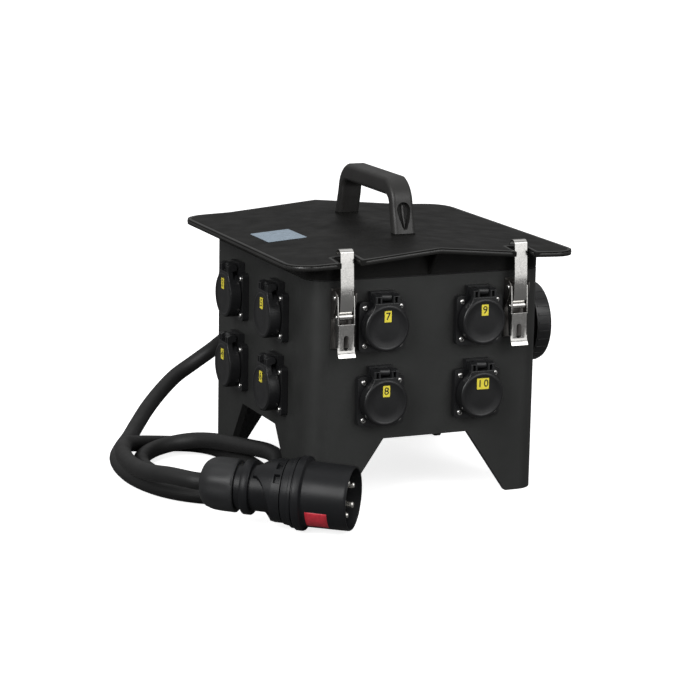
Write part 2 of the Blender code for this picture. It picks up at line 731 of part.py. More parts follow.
def build_latch(holder, name, along):
    """Base, lever and hooked strap of one latch, in the wall's frame with heights above the floor."""
    ground, rotation = wall_frame("front", along, 0.0)
    base = box("base", (-EAR_OUTER, 0.1610, GAP), (EAR_OUTER, 0.2215, GAP + 0.0015), stainless())
    ears = []
    for hand in (-1, 1):
        low, high = sorted((hand * (LEVER_HALF + 0.0004), hand * EAR_OUTER))
        ear = [(0.1900, 0.0010), (0.2195, 0.0010), (0.2195, 0.0090), (0.2170, 0.0125),
               (0.2090, 0.0125), (0.1960, 0.0060)]
        ears.append(prism("ear", ear, low, high, None, "YZX"))
    combine(base, ears, "UNION")
    base.name = f"latch_base_{name}"
    place(base, holder, ground, rotation)

    lever = lever_mesh()
    pivot = Vector((0, *LATCH_PIVOT))
    turn(lever, Matrix.Translation(-pivot))
    lever.name = f"latch_lever_{name}"
    place(lever, holder, ground + rotation @ pivot, rotation)

    strap = prism("strap", ribbon(strap_path(), SHEET), -STRAP_HALF, STRAP_HALF, stainless(), "YZX")
    pivot = Vector((0, *STRAP_PIVOT))
    turn(strap, Matrix.Translation(-pivot))
    smooth(strap)
    strap.name = f"latch_strap_{name}"
    place(strap, holder, ground + rotation @ pivot, rotation)


def lever_mesh():
    """Channel with two side arms up to the pivot, a kicked-out tail and the strap's pin."""
    front = LEVER_FRONT
    plate = [(0.1870, front), (0.1870, front - SHEET), (0.1600, front - SHEET), (0.1545, front + 0.0020),
             (0.1545, front + 0.0035), (0.1610, front)]
    lever = prism("lever", plate, -LEVER_HALF, LEVER_HALF, stainless(), "YZX")
    arms = []
    for hand in (-1, 1):
        low, high = sorted((hand * (LEVER_HALF - SHEET), hand * LEVER_HALF))
        arm = [(0.1640, front), (0.1640, 0.0090), (0.1900, 0.0055), (0.2100, 0.0050), (0.2165, 0.0065),
               (0.2165, 0.0105), (0.2130, 0.0125), (0.1960, 0.0132), (0.1860, front)]
        arms.append(prism("arm", arm, low, high, None, "YZX"))
    pin = cylinder("pin", 0.0016, -LEVER_HALF + 0.0004, LEVER_HALF - 0.0004, None, 10)
    height, out = STRAP_PIVOT
    turn(pin, Matrix.Translation((0, height, out)) @ Matrix.Rotation(math.pi / 2, 4, "Y"))
    combine(lever, arms + [pin], "UNION")
    return lever


def strap_path():
    """Middle line (height, distance from the wall) of the strap: eye round the pin, shank and hook."""
    height, out = STRAP_PIVOT
    eye = arc((height, out), 0.0026, 200, -60, 8)
    shank = [(0.2000, 0.0128), (0.2300, 0.0135), (0.2480, 0.0125)]
    hook = arc((0.2545, 0.0068), 0.0056, 60, -60, 5)
    return eye + shank + hook + [(0.2546, -0.0018)]


# Cable entry, plug and cord -------------------------------------------------------------------------

def build_gland(holder):
    position, rotation = wall_frame("back", GLAND_X, GLAND_Z)
    body = turned("gland_body", [
        (0.0, -0.020), (GLAND_NECK, -0.020), (GLAND_NECK, GAP), (0.0215, GAP), (0.0215, 0.0050),
        (0.0170, 0.0065), (0.0170, GLAND_SHOULDER), (0.0, GLAND_SHOULDER),
    ], plug_plastic(), 24)
    place(body, holder, position, rotation)
    nut = turned("gland_nut", [
        (0.0, GLAND_SHOULDER + GAP), (0.0195, GLAND_SHOULDER + GAP), (0.0195, 0.0340), (0.0175, 0.0400),
        (0.0130, GLAND_LENGTH), (0.0, GLAND_LENGTH),
    ], plug_plastic(), 24)
    place(nut, holder, position, rotation)


def plug_frame():
    """Rotation that turns +Z onto the plug's axis, with local X level."""
    level = math.cos(PLUG_TILT)
    axis = Vector((level * math.cos(PLUG_HEADING), level * math.sin(PLUG_HEADING), -math.sin(PLUG_TILT)))
    side = Vector((0, 0, 1)).cross(axis).normalized()
    upward = axis.cross(side)
    return Matrix((side, upward, axis)).transposed()


def build_plug(holder):
    rotation = plug_frame()
    nut_end, rear_end = PLUG_FACE
    nut = turned("plug_nut", [
        (0.0, 0.0), (0.0135, 0.0), (0.0200, 0.0025), (0.0245, 0.0075), (0.0262, 0.0150),
        (0.0262, nut_end - 0.0020), (0.0250, nut_end), (0.0, nut_end),
    ], plug_plastic(), 28)
    place(nut, holder, PLUG_START, rotation)
    rear = turned("plug_rear", [
        (0.0, nut_end + GAP), (0.0225, nut_end + GAP), (0.0225, 0.0440), (0.0268, 0.0445), (0.0268, 0.0520),
        (0.0240, 0.0528), (0.0240, 0.0580), (0.0300, 0.0730), (0.0308, rear_end), (0.0, rear_end),
    ], plug_plastic(), 28)
    place(rear, holder, PLUG_START, rotation)
    front = turned("plug_front", [
        (0.0, rear_end + GAP), (0.0318, rear_end + GAP), (0.0326, 0.0950), (0.0360, 0.0955),
        (0.0360, PLUG_CARRIER), (0.0318, 0.1066), (0.0312, PLUG_LENGTH), (0.0288, PLUG_LENGTH),
        (0.0288, PLUG_CARRIER), (0.0, PLUG_CARRIER),
    ], plug_plastic(), 28)
    place(front, holder, PLUG_START, rotation)
    carrier = cylinder("plug_pins", 0.0270, PLUG_CARRIER + GAP, 0.1110, brass(), 28)
    pins = []
    for index in range(5):
        angle = PLUG_KEY + 2 * math.pi * index / 5
        radius = 0.0035 if index == 0 else 0.0030
        pin = cylinder("pin", radius, 0.1080, 0.1480, None, 10)
        turn(pin, Matrix.Translation((PIN_CIRCLE * math.cos(angle), PIN_CIRCLE * math.sin(angle), 0)))
        pins.append(pin)
    combine(carrier, pins, "UNION")
    smooth(carrier)
    place(carrier, holder, PLUG_START, rotation)


def smooth_route(route, spacing):
    """Points at an even spacing along a Catmull-Rom curve through the route."""
    points = [Vector(point) for point in route]
    padded = [points[0] * 2 - points[1]] + points + [points[-1] * 2 - points[-2]]
    fine = []
    for index in range(1, len(padded) - 2):
        before, start, end, after = padded[index - 1:index + 3]
        for step in range(24):
            t = step / 24
            fine.append(0.5 * (2 * start + (end - before) * t
                               + (2 * before - 5 * start + 4 * end - after) * t ** 2
                               + (3 * start - before - 3 * end + after) * t ** 3))
    fine.append(points[-1])
    lengths = [0.0]
    for first, second in zip(fine, fine[1:]):
        lengths.append(lengths[-1] + (second - first).length)
    count = round(lengths[-1] / spacing)
    even = []
    index = 0
    for step in range(count + 1):
        wanted = lengths[-1] * step / count
        while index < len(fine) - 2 and lengths[index + 1] < wanted:
            index += 1
        share = (wanted - lengths[index]) / (lengths[index + 1] - lengths[index])
        even.append(fine[index].lerp(fine[index + 1], min(share, 1.0)))
    return even


def cord_points():
    """The cord's middle line, with a short straight lead out of the gland and into the plug."""
    gland_end, rotation = wall_frame("back", GLAND_X, GLAND_Z)
    gland_axis = rotation.col[2]
    gland_end = gland_end + gland_axis * GLAND_LENGTH
    plug_axis = plug_frame().col[2]
    first = gland_end + gland_axis * CORD_LEAD
    last = PLUG_START - plug_axis * CORD_LEAD
    middle = smooth_route([first] + CORD_ROUTE + [last], CORD_DIAMETER * 2.1)
    return [gland_end + gland_axis * GAP] + middle + [PLUG_START - plug_axis * GAP]


def build_cord(holder):
    points = cord_points()
    curve = bpy.data.curves.new("supply_cord", "CURVE")
    curve.dimensions = "3D"
    curve.bevel_depth = CORD_DIAMETER / 2
    curve.bevel_resolution = 2
    curve.use_fill_caps = True
    spline = curve.splines.new("POLY")
    spline.points.add(len(points) - 1)
    for target, point in zip(spline.points, points):
        target.co = (*point, 1.0)
    curve.materials.append(rubber())
    cord = bpy.data.objects.new("supply_cord", curve)
    bpy.context.scene.collection.objects.link(cord)
    return place(cord, holder, (0, 0, 0))


# Inside ---------------------------------------------------------------------------------------------

TRAY_TOP = 0.1500
DEVICE_LOW = TRAY_TOP + 0.0075
DEVICE_TOP = DEVICE_LOW + 0.0440
NOSE_TOP = DEVICE_LOW + 0.0600
POLE = 0.0175                    # width of one pole of a rail mounted device
TRAY_HALF = (0.086, 0.050)
TOGGLE_HALF = 0.0056
TOGGLE_LEAN = math.radians(-32)


def build_tray(holder):
    """Sheet metal tray on four legs with a mounting rail for the breakers."""
    floor = FLOOR_Z + WALL + GAP
    half_x, half_y = TRAY_HALF
    tray = box("breaker_tray", (-half_x, -half_y, TRAY_TOP - 0.002), (half_x, half_y, TRAY_TOP), zinc_plate())
    parts = [box("rail", (-0.080, -0.0175, TRAY_TOP - 0.001), (0.080, 0.0175, DEVICE_LOW - GAP))]
    for x in (-0.084, 0.078):
        for y in (-0.048, 0.042):
            parts.append(box("leg", (x, y, floor), (x + 0.006, y + 0.006, TRAY_TOP - 0.001)))
    combine(tray, parts, "UNION")
    return place(tray, holder, (0, 0, 0))


def device_outline():
    """Side view (y, z) of a rail mounted device: a wide body with a narrower raised nose."""
    return [
        (-0.0425, DEVICE_LOW), (0.0425, DEVICE_LOW), (0.0425, DEVICE_TOP), (0.0225, DEVICE_TOP),
        (0.0225, NOSE_TOP), (-0.0225, NOSE_TOP), (-0.0225, DEVICE_TOP), (-0.0425, DEVICE_TOP),
    ]


def build_device(holder, name, left, poles):
    right = left + poles * POLE
    body = prism(f"{name}_body", device_outline(), left, right - GAP, breaker_plastic(), "YZX")
    middle = (left + right) / 2
    half = TOGGLE_HALF
    slot = box("slot", (middle - half - 0.0004, -0.0120, NOSE_TOP - 0.0120),
               (middle + half + 0.0004, 0.0120, NOSE_TOP + 0.001))
    combine(body, [slot], "DIFFERENCE")
    place(body, holder, (0, 0, 0))
    # the toggle turns about an axis just under the nose, and leans back when on
    pivot = Vector((middle, 0.0, NOSE_TOP - 0.0050))
    outline = arc((0.0, 0.0), 0.0046, 150, 390, 8) + [(0.0022, 0.0125), (-0.0022, 0.0125)]
    toggle = prism(f"{name}_toggle", outline, -half, half, toggle_plastic(), "YZX")
    turn(toggle, Matrix.Rotation(TOGGLE_LEAN, 4, "X"))
    smooth(toggle)
    place(toggle, holder, pivot)


def build_devices(holder):
    left = -0.070
    build_device(holder, "residual_current_switch", left, 4)
    for index in range(3):
        build_device(holder, f"breaker_{index + 1}", left + (4 + index) * POLE, 1)


def main():
    for piece in list(bpy.data.objects):
        bpy.data.objects.remove(piece)
    holder = bpy.data.objects.new("box_frame", None)
    holder.location = (FRAME_X, FRAME_Y, 0.0)
    bpy.context.scene.collection.objects.link(holder)
    build_housing(holder)
    build_gasket(holder)
    build_lid(holder)
    build_handle(holder)
    build_sockets(holder)
    build_outlet(holder)
    for name, along in (("left", -LATCH_X), ("right", LATCH_X)):
        build_lid_hinge(holder, name, along)
        build_latch(holder, name, along)
    build_gland(holder)
    build_plug(holder)
    build_cord(holder)
    build_tray(holder)
    build_devices(holder)


main()
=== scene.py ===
"""Looks of the portable power distribution box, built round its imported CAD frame.  Metres, +Z up."""

import math

import bmesh
import bpy
from mathutils import Matrix, Vector


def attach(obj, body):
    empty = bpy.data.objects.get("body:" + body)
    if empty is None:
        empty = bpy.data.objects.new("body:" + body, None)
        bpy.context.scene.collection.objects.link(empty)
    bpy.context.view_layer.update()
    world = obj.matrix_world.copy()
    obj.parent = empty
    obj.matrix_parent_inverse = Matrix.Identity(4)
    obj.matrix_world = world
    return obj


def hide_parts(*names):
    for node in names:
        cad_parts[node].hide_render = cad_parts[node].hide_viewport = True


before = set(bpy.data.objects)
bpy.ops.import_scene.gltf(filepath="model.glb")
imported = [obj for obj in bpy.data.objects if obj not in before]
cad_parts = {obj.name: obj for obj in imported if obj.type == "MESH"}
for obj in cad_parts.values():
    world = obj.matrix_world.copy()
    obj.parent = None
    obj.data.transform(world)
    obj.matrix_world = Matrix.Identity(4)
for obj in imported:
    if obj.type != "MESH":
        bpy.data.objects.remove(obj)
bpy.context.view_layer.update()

# Driving dimensions, the same as the CAD source's
BOX = Vector((-0.0185, -0.0105, 0.0))    # the middle of the housing on the ground
BODY_X, BODY_Y = 0.252, 0.274
LID_X, LID_Y = 0.310, 0.322
RIDGE_Z, EAVE_Z = 0.2592, 0.2480
SHOULDER_X, SHOULDER_Z = 0.100, 0.2498
LID_RADIUS, LID_THICK = 0.026, 0.0050
BEAD, BEAD_PROUD = 0.0029, 0.0003        # bead round the lid's edge: radius, and how far it stands out
BEAD_STEP = 0.004                        # spacing of the points along the bead
NOTCH_WIDTH, NOTCH_INNER_Y, NOTCH_CORNER = 0.0212, 0.1385, 0.0030
LATCH_X = 0.094
SOCKET_ROWS = {"upper": 0.1818, "lower": 0.1070}
CAP_RADIUS, CAP_TOP = 0.0234, 0.0200
CAP_HINGE = (0.0295, 0.0120)             # above the outlet's centre, out of the wall
HINGE_BAR = (0.0059, 0.0130)             # inner and outer side of each of a cap's hinge arms
SOCKET_SCREW, OUTLET_SCREW = 0.0190, 0.0350    # flange screws, across and up from the outlet's centre
OUTLET_Z = 0.1450
OUTLET_HINGE = (0.0470, 0.0470)
CORD_DIAMETER = 0.017
CORD_LEAD = 0.010
GLAND_X, GLAND_Z, GLAND_LENGTH = -0.072, 0.108, 0.045
PLUG_START = Vector((-0.2360, -0.1370, 0.0392))
PLUG_HEADING, PLUG_TILT, PLUG_LENGTH = math.radians(-38.5), math.radians(1.3), 0.151
PLUG_KEY = math.radians(322)             # turn of the earth pin about the plug's axis
GRIP_START, SCOOP_RADIUS = 0.0526, 0.0224
SCOOPS, SCOOP_HALF = [math.radians(angle) for angle in (215, 35)], math.radians(75)
WINDOWS = [math.radians(angle) for angle in (10, 38, 115, 143, 262, 290)]
PIN_CIRCLE, PIN_TIP = 0.0165, 0.1480     # the plug's five pins: radius they lie on, height of tips
LATCH_PIVOT = (0.2130, 0.0085)           # height, out of the wall
STRAP_PIVOT = (0.1940, 0.0090)
LID_HINGE = (0.2290, 0.0040)

CORD_ROUTE = [
    (-0.0725, 0.2050, 0.1060), (-0.0775, 0.2250, 0.0970),
    (-0.0890, 0.2420, 0.0810), (-0.1080, 0.2505, 0.0652), (-0.1295, 0.2490, 0.0522),
    (-0.1515, 0.2370, 0.0385), (-0.1740, 0.2150, 0.0264), (-0.1950, 0.1870, 0.0166),
    (-0.2145, 0.1560, 0.0102), (-0.2335, 0.1230, 0.0086), (-0.2500, 0.0870, 0.0086),
    (-0.2580, 0.0500, 0.0086), (-0.2590, 0.0080, 0.0086), (-0.2500, -0.0340, 0.0086),
    (-0.2300, -0.0680, 0.0086), (-0.2000, -0.0890, 0.0088), (-0.1670, -0.0920, 0.0140),
    (-0.1390, -0.0770, 0.0225), (-0.1220, -0.0480, 0.0275), (-0.1190, -0.0150, 0.0280),
    (-0.1290, 0.0160, 0.0265), (-0.1410, 0.0450, 0.0245), (-0.1515, 0.0690, 0.0225),
    (-0.1650, 0.0885, 0.0193), (-0.1845, 0.0985, 0.0152), (-0.2070, 0.0955, 0.0114),
    (-0.2255, 0.0785, 0.0089), (-0.2350, 0.0490, 0.0086), (-0.2350, 0.0160, 0.0086),
    (-0.2280, -0.0180, 0.0086), (-0.2120, -0.0470, 0.0086), (-0.1880, -0.0640, 0.0086),
    (-0.1620, -0.0640, 0.0086), (-0.1410, -0.0490, 0.0086), (-0.1300, -0.0220, 0.0086),
    (-0.1280, 0.0100, 0.0086), (-0.1310, 0.0420, 0.0086), (-0.1360, 0.0700, 0.0086),
    (-0.1440, 0.0960, 0.0086), (-0.1600, 0.1140, 0.0087), (-0.1830, 0.1220, 0.0092),
    (-0.2060, 0.1170, 0.0125), (-0.2265, 0.1010, 0.0180), (-0.2430, 0.0800, 0.0240),
    (-0.2570, 0.0470, 0.0270), (-0.2660, 0.0100, 0.0278), (-0.2690, -0.0280, 0.0295),
    (-0.2670, -0.0660, 0.0330), (-0.2570, -0.1040, 0.0385),
]
CORD_INSIDE_PLUG = 0.022
CORD_STEP = 0.0045                       # spacing of the points along the cord

HORIZON, SKY = 0.21, 0.55                # brightness of the studio round the object
FLOOR_GLOW = 0.80
KEY_POWER, FRONT_POWER, TOP_POWER, CARD_POWER = 42, 18, 5, 1.7


# Camera ---------------------------------------------------

AZIMUTH, ELEVATION, ROLL = math.radians(-23.40), math.radians(12.28), math.radians(1.07)
TARGET = BOX + Vector((-0.02463, 0, 0.12604))
DISTANCE, LENS = 2.551, 126


def make_camera():
    data = bpy.data.cameras.new("camera")
    data.sensor_width = 36
    data.lens = LENS
    data.clip_start, data.clip_end = 0.1, 30
    camera = link("camera", data)
    turning = Matrix.Rotation(AZIMUTH, 4, "Z") @ Matrix.Rotation(math.pi / 2 - ELEVATION, 4, "X")
    back = Matrix.Translation((0, 0, DISTANCE))
    camera.matrix_world = Matrix.Translation(TARGET) @ turning @ Matrix.Rotation(ROLL, 4, "Z") @ back
    bpy.context.scene.camera = camera


# Materials ------------------------------------------------

def add_node(tree, kind, **values):
    """A node with its settings, or its inputs' values, by name."""
    node = tree.nodes.new(kind)
    for key, value in values.items():
        if hasattr(node, key):
            setattr(node, key, value)
        else:
            node.inputs[key.replace("_", " ")].default_value = value
    return node


class Nodes:
    """A short way to write a material's nodes."""

    def __init__(self, name):
        self.material = bpy.data.materials.new(name)
        self.material.use_nodes = True
        self.tree = self.material.node_tree
        self.shader = self.tree.nodes["Principled BSDF"]
        self.place = self.add("ShaderNodeTexCoord").outputs["Object"]

    def add(self, kind, **values):
        return add_node(self.tree, kind, **values)

    def link(self, output, target):
        self.tree.links.new(output, target)

    def noise(self, scale, detail=2.0, stretch=None):
        node = self.add("ShaderNodeTexNoise", Scale=scale, Detail=detail)
        source = self.place
        if stretch:
            mapping = self.add("ShaderNodeMapping", Scale=stretch)
            self.link(source, mapping.inputs["Vector"])
            source = mapping.outputs["Vector"]
        self.link(source, node.inputs["Vector"])
        return node.outputs["Fac"]

    def ranged(self, value, low, high, start=0.3, end=0.7):
        node = self.add("ShaderNodeMapRange", From_Min=start, From_Max=end, To_Min=low, To_Max=high)
        self.link(value, node.inputs["Value"])
        return node.outputs["Result"]

    def blend(self, share, first, second):
        node = self.add("ShaderNodeMix", data_type="RGBA")
        self.link(share, node.inputs["Factor"])
        for socket, colour in zip([s for s in node.inputs if s.type == "RGBA"], (first, second)):
            socket.default_value = (*colour, 1)
        return [s for s in node.outputs if s.type == "RGBA"][0]

    def tones(self, scale, detail, dark, light):
        """A base colour that wanders between two tones."""
        share = self.ranged(self.noise(scale, detail), 0, 1)
        self.link(self.blend(share, dark, light), self.shader.inputs["Base Color"])

    def rough(self, value, low, high):
        self.link(self.ranged(value, low, high), self.shader.inputs["Roughness"])

    def relief(self, normal):
        self.link(normal, self.shader.inputs["Normal"])

    def bump(self, height, distance, strength=1.0, under=None):
        node = self.add("ShaderNodeBump", Strength=strength, Distance=distance)
        self.link(height, node.inputs["Height"])
        if under is not None:
            self.link(under, node.inputs["Normal"])
        return node.outputs["Normal"]


def grey(colour, factor):
    return tuple(min(channel * factor, 1.0) for channel in colour)


def moulded(name, colour, roughness, grain=1400, depth=0.00006, gloss=0.5, cloud=0.18):
    """Moulded plastic: a fine spark-eroded grain, slow cloudiness in tone, and rubbed patches."""
    made = Nodes(name)
    made.tones(22, 5, grey(colour, 1 - cloud), grey(colour, 1 + cloud))
    made.rough(made.noise(55, 6, (1, 1, 0.6)), roughness - 0.07, roughness + 0.07)
    slow = made.bump(made.noise(45, 2), 0.0002, 0.25)
    made.relief(made.bump(made.noise(grain, 2), depth, 0.5, slow))
    made.shader.inputs["Specular IOR Level"].default_value = gloss
    return made.material


def brushed(name, colour, roughness, stretch=(900, 900, 60), depth=0.00003):
    """Sheet metal with fine draw lines along one direction."""
    made = Nodes(name)
    made.shader.inputs["Metallic"].default_value = 1.0
    lines = made.noise(1.0, 3, stretch)
    made.tones(60, 4, grey(colour, 0.90), colour)
    made.rough(lines, roughness - 0.06, roughness + 0.10)
    made.relief(made.bump(lines, depth, 0.4))
    return made.material


def printed(name, colour, roughness, cloud=0.06):
    """Film or paint with a slight unevenness."""
    made = Nodes(name)
    made.tones(260, 3, grey(colour, 1 - cloud), grey(colour, 1 + cloud))
    made.rough(made.noise(150, 3), roughness - 0.05, roughness + 0.05)
    made.relief(made.bump(made.noise(500, 2), 0.00004, 0.3))
    return made.material


def make_materials():
    return {
        "housing": moulded("housing_moulding", (0.0235, 0.0244, 0.0236), 0.50, gloss=0.40),
        "lid": moulded("lid_moulding", (0.0095, 0.0094, 0.0089), 0.52, grain=900, gloss=0.10, cloud=0.38),
        # painted highlight: the lid's bead is given twice the lid's lightness, for the light along its
        # edge
        "rim": moulded("rim_moulding", (0.0200, 0.0198, 0.0190), 0.36, grain=900, gloss=0.55, cloud=0.25),
        "handle": moulded("handle_moulding", (0.0230, 0.0222, 0.0214), 0.42, gloss=0.40),
        # painted shade: darker than the handle, for the shade inside each leg's recess
        "recess_painted_shade": moulded("handle_recess_painted_shade", (0.0100, 0.0096, 0.0092), 0.60, gloss=0.25),
        "socket": moulded("socket_thermoplastic", (0.0100, 0.0102, 0.0110), 0.36, grain=1800, gloss=0.45),
        "plug": moulded("plug_thermoplastic", (0.0100, 0.0104, 0.0115), 0.40, grain=1700, gloss=0.22),
        "nut": moulded("nut_thermoplastic", (0.0190, 0.0195, 0.0205), 0.46, grain=1700, gloss=0.36),
        # painted shade: near black, for the shade in holes, screw recesses and deep in the plug's shroud
        "painted_shade": moulded("painted_shade_dark", (0.0035, 0.0035, 0.0035), 0.70, gloss=0.15),
        "rubber": moulded("cord_rubber", (0.0110, 0.0110, 0.0112), 0.56, grain=700, depth=0.0001,
                          gloss=0.42),
        "steel": brushed("stainless_sheet", (0.64, 0.63, 0.61), 0.14, (700, 700, 20), 0.000003),
        # painted shade: the latch bases are the same stainless steel as the straps, made darker for their
        # shade
        "plate": brushed("latch_plate_painted_shade", (0.22, 0.21, 0.20), 0.36, (700, 700, 20), 0.000003),
        "screw": brushed("screw_steel", (0.74, 0.73, 0.71), 0.22, (500, 500, 500), 0.000006),
        "pin": brushed("nickel_pin", (0.80, 0.78, 0.74), 0.18, (400, 400, 400), 0.000006),
        "zinc": brushed("zinc_sheet", (0.55, 0.56, 0.57), 0.38, (300, 40, 300)),
        "breaker": moulded("breaker_moulding", (0.60, 0.61, 0.60), 0.45, grain=1500, cloud=0.04),
        "toggle": moulded("toggle_moulding", (0.03, 0.05, 0.16), 0.35, grain=1500, cloud=0.10),
        "yellow": printed("label_yellow", (0.87, 0.74, 0.06), 0.45),
        "ink": printed("label_ink", (0.012, 0.012, 0.010), 0.50),
        "red": printed("mark_red", (0.62, 0.035, 0.055), 0.40, 0.12),
        "film": printed("sticker_film", (0.30, 0.38, 0.46), 0.30, 0.10),
    }


# Shapes ---------------------------------------------------

CORNERS = ((1, 1, 0), (-1, 1, 90), (-1, -1, 180), (1, -1, 270))    # sides in X and Y, and start angle


def link(name, data):
    made = bpy.data.objects.new(name, data)
    bpy.context.scene.collection.objects.link(made)
    return made


def mesh_of(curve, skin):
    """The mesh of a curve or text, in one material; the curve goes."""
    source = link("source", curve)
    bpy.context.view_layer.update()
    mesh = bpy.data.meshes.new_from_object(source.evaluated_get(bpy.context.evaluated_depsgraph_get()))
    bpy.data.objects.remove(source)
    mesh.materials.clear()
    mesh.materials.append(skin)
    return mesh


def bar_curve(name, points, radius, resolution, closed=False):
    """A round bar along a line of points."""
    curve = bpy.data.curves.new(name, "CURVE")
    curve.dimensions = "3D"
    curve.bevel_depth = radius
    curve.bevel_resolution = resolution
    curve.use_fill_caps = not closed
    spline = curve.splines.new("POLY")
    spline.use_cyclic_u = closed
    spline.points.add(len(points) - 1)
    for target, point in zip(spline.points, points):
        target.co = (*point, 1.0)
    return curve


def add_object(name, builder, skin, angle=35):
    mesh = bpy.data.meshes.new(name)
    bmesh.ops.recalc_face_normals(builder, faces=builder.faces)
    builder.to_mesh(mesh)
    builder.free()
    mesh.materials.append(skin)
    mesh.shade_smooth()
    mesh.set_sharp_from_angle(angle=math.radians(angle))
    return link(name, mesh)


def soften(piece, width, segments=2, angle=32, weld=False):
    """Round the edges, as a moulding or a pressing has them."""
    if weld:
        step = piece.modifiers.new("weld", "WELD")
        step.merge_threshold = 0.00001
    step = piece.modifiers.new("bevel", "BEVEL")
    step.width = width
    step.segments = segments
    step.angle_limit = math.radians(angle)
    step = piece.modifiers.new("normals", "WEIGHTED_NORMAL")
    step.weight = 80
    return piece


def dress(nodes, skin, width, segments=2):
    """Give CAD nodes a finished material and rounded edges."""
    for name in nodes:
        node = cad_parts[name]
        for slot in node.material_slots:
            slot.material = skin
        if width:
            soften(node, width, segments, weld=True)


def nodes(starts, ends=""):
    return [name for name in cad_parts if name.startswith(starts) and name.endswith(ends)]


def smooth_route(route, spacing):
    """Points at an even spacing along a Catmull-Rom curve through the route."""
    points = [Vector(point) for point in route]
    padded = [points[0] * 2 - points[1]] + points + [points[-1] * 2 - points[-2]]
    fine = []
    for index in range(1, len(padded) - 2):
        before, start, end, after = padded[index - 1:index + 3]
        for step in range(24):
            t = step / 24
            fine.append(0.5 * (2 * start + (end - before) * t
                               + (2 * before - 5 * start + 4 * end - after) * t ** 2
                               + (3 * start - before - 3 * end + after) * t ** 3))
    fine.append(points[-1])
    lengths = [0.0]
    for first, second in zip(fine, fine[1:]):
        lengths.append(lengths[-1] + (second - first).length)
    count = round(lengths[-1] / spacing)
    even = []
    index = 0
    for step in range(count + 1):
        wanted = lengths[-1] * step / count
        while index < len(fine) - 2 and lengths[index + 1] < wanted:
            index += 1
        share = (wanted - lengths[index]) / (lengths[index + 1] - lengths[index])
        even.append(fine[index].lerp(fine[index + 1], min(share, 1.0)))
    return even


def wall(side, along, height):
    """Where a wall fitting sits: local X along the wall, Y up, Z out of it."""
    outward = {"front": Vector((0, -1, 0)), "back": Vector((0, 1, 0)),
               "left": Vector((-1, 0, 0)), "right": Vector((1, 0, 0))}[side]
    upward = Vector((0, 0, 1))
    turning = Matrix((upward.cross(outward), upward, outward)).transposed().to_4x4()
    front = side in ("front", "back")
    position = outward * (BODY_Y if front else BODY_X) / 2 + upward * height
    position[0 if front else 1] = along
    return Matrix.Translation(BOX + position) @ turning


def plug_place():
    """Where the plug sits: local Z along it, from its cord end to its pins."""
    level = math.cos(PLUG_TILT)
    axis = Vector((level * math.cos(PLUG_HEADING), level * math.sin(PLUG_HEADING), -math.sin(PLUG_TILT)))
    side = Vector((0, 0, 1)).cross(axis).normalized()
    turning = Matrix((side, axis.cross(side), axis)).transposed().to_4x4()
    return Matrix.Translation(BOX + PLUG_START) @ turning


# Cord -----------------------------------------------------

def make_cord(skins):
    start = wall("back", GLAND_X, GLAND_Z)
    leave = start.col[2].to_3d()
    exit_point = start.translation + leave * GLAND_LENGTH
    plug = plug_place()
    enter = plug.col[2].to_3d()
    route = [exit_point, exit_point + leave * CORD_LEAD] + [BOX + Vector(p) for p in CORD_ROUTE]
    route += [plug.translation + enter * along for along in (-CORD_LEAD, 0, CORD_INSIDE_PLUG)]
    curve = bar_curve("supply_cable", smooth_route(route, CORD_STEP), CORD_DIAMETER / 2, 8)
    curve.materials.append(skins["rubber"])
    cord = link("supply_cable", curve)
    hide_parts("supply_cord")
    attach(cord, "box")
    return cord, exit_point


def make_world():
    """A dim horizon and a brighter sky all round, behind a plain white backdrop."""
    world = bpy.data.worlds.new("studio")
    bpy.context.scene.world = world
    world.use_nodes = True
    tree = world.node_tree
    direction = add_node(tree, "ShaderNodeTexCoord")
    split = add_node(tree, "ShaderNodeSeparateXYZ")
    sky = add_node(tree, "ShaderNodeMapRange", From_Min=0.15, From_Max=0.75, To_Min=HORIZON, To_Max=SKY)
    backdrop = add_node(tree, "ShaderNodeMix", B=1.0)
    seen = add_node(tree, "ShaderNodeLightPath")
    light = tree.nodes["Background"]
    light.inputs["Color"].default_value = (1, 1, 1, 1)
    for output, target in ((direction.outputs["Generated"], split.inputs["Vector"]),
                           (split.outputs["Z"], sky.inputs["Value"]),
                           (sky.outputs["Result"], backdrop.inputs["A"]),
                           (seen.outputs["Is Camera Ray"], backdrop.inputs["Factor"]),
                           (backdrop.outputs["Result"], light.inputs["Strength"])):
        tree.links.new(output, target)


def make_stage():
    """The floor: a plain white backdrop to the camera, and dim to everything that reflects it."""
    builder = bmesh.new()
    bmesh.ops.create_grid(builder, x_segments=1, y_segments=1, size=12)
    material = bpy.data.materials.new("floor")
    material.use_nodes = True
    tree = material.node_tree
    pale = tree.nodes["Principled BSDF"]
    for socket, value in (("Base Color", (0.90, 0.90, 0.90, 1)), ("Roughness", 0.8),
                          ("Specular IOR Level", 0.1), ("Emission Color", (1, 1, 1, 1)),
                          ("Emission Strength", FLOOR_GLOW)):
        pale.inputs[socket].default_value = value
    dim = add_node(tree, "ShaderNodeBsdfDiffuse", Color=(0.16, 0.16, 0.16, 1))
    seen = add_node(tree, "ShaderNodeLightPath")
    either = add_node(tree, "ShaderNodeMixShader")
    for index, output in enumerate((seen.outputs["Is Camera Ray"], dim.outputs[0], pale.outputs[0])):
        tree.links.new(output, either.inputs[index])
    tree.links.new(either.outputs[0], tree.nodes["Material Output"].inputs["Surface"])
    floor = add_object("floor", builder, material)
    floor.location.z = -0.0003


def area_light(name, position, target, size, power):
    data = bpy.data.lights.new(name, "AREA")
    data.shape = "RECTANGLE"
    data.size, data.size_y = size
    data.energy = power
    lamp = link(name, data)
    lamp.location = position
    lamp.rotation_mode = "QUATERNION"
    lamp.rotation_quaternion = (Vector(target) - Vector(position)).to_track_quat("-Z", "Y")


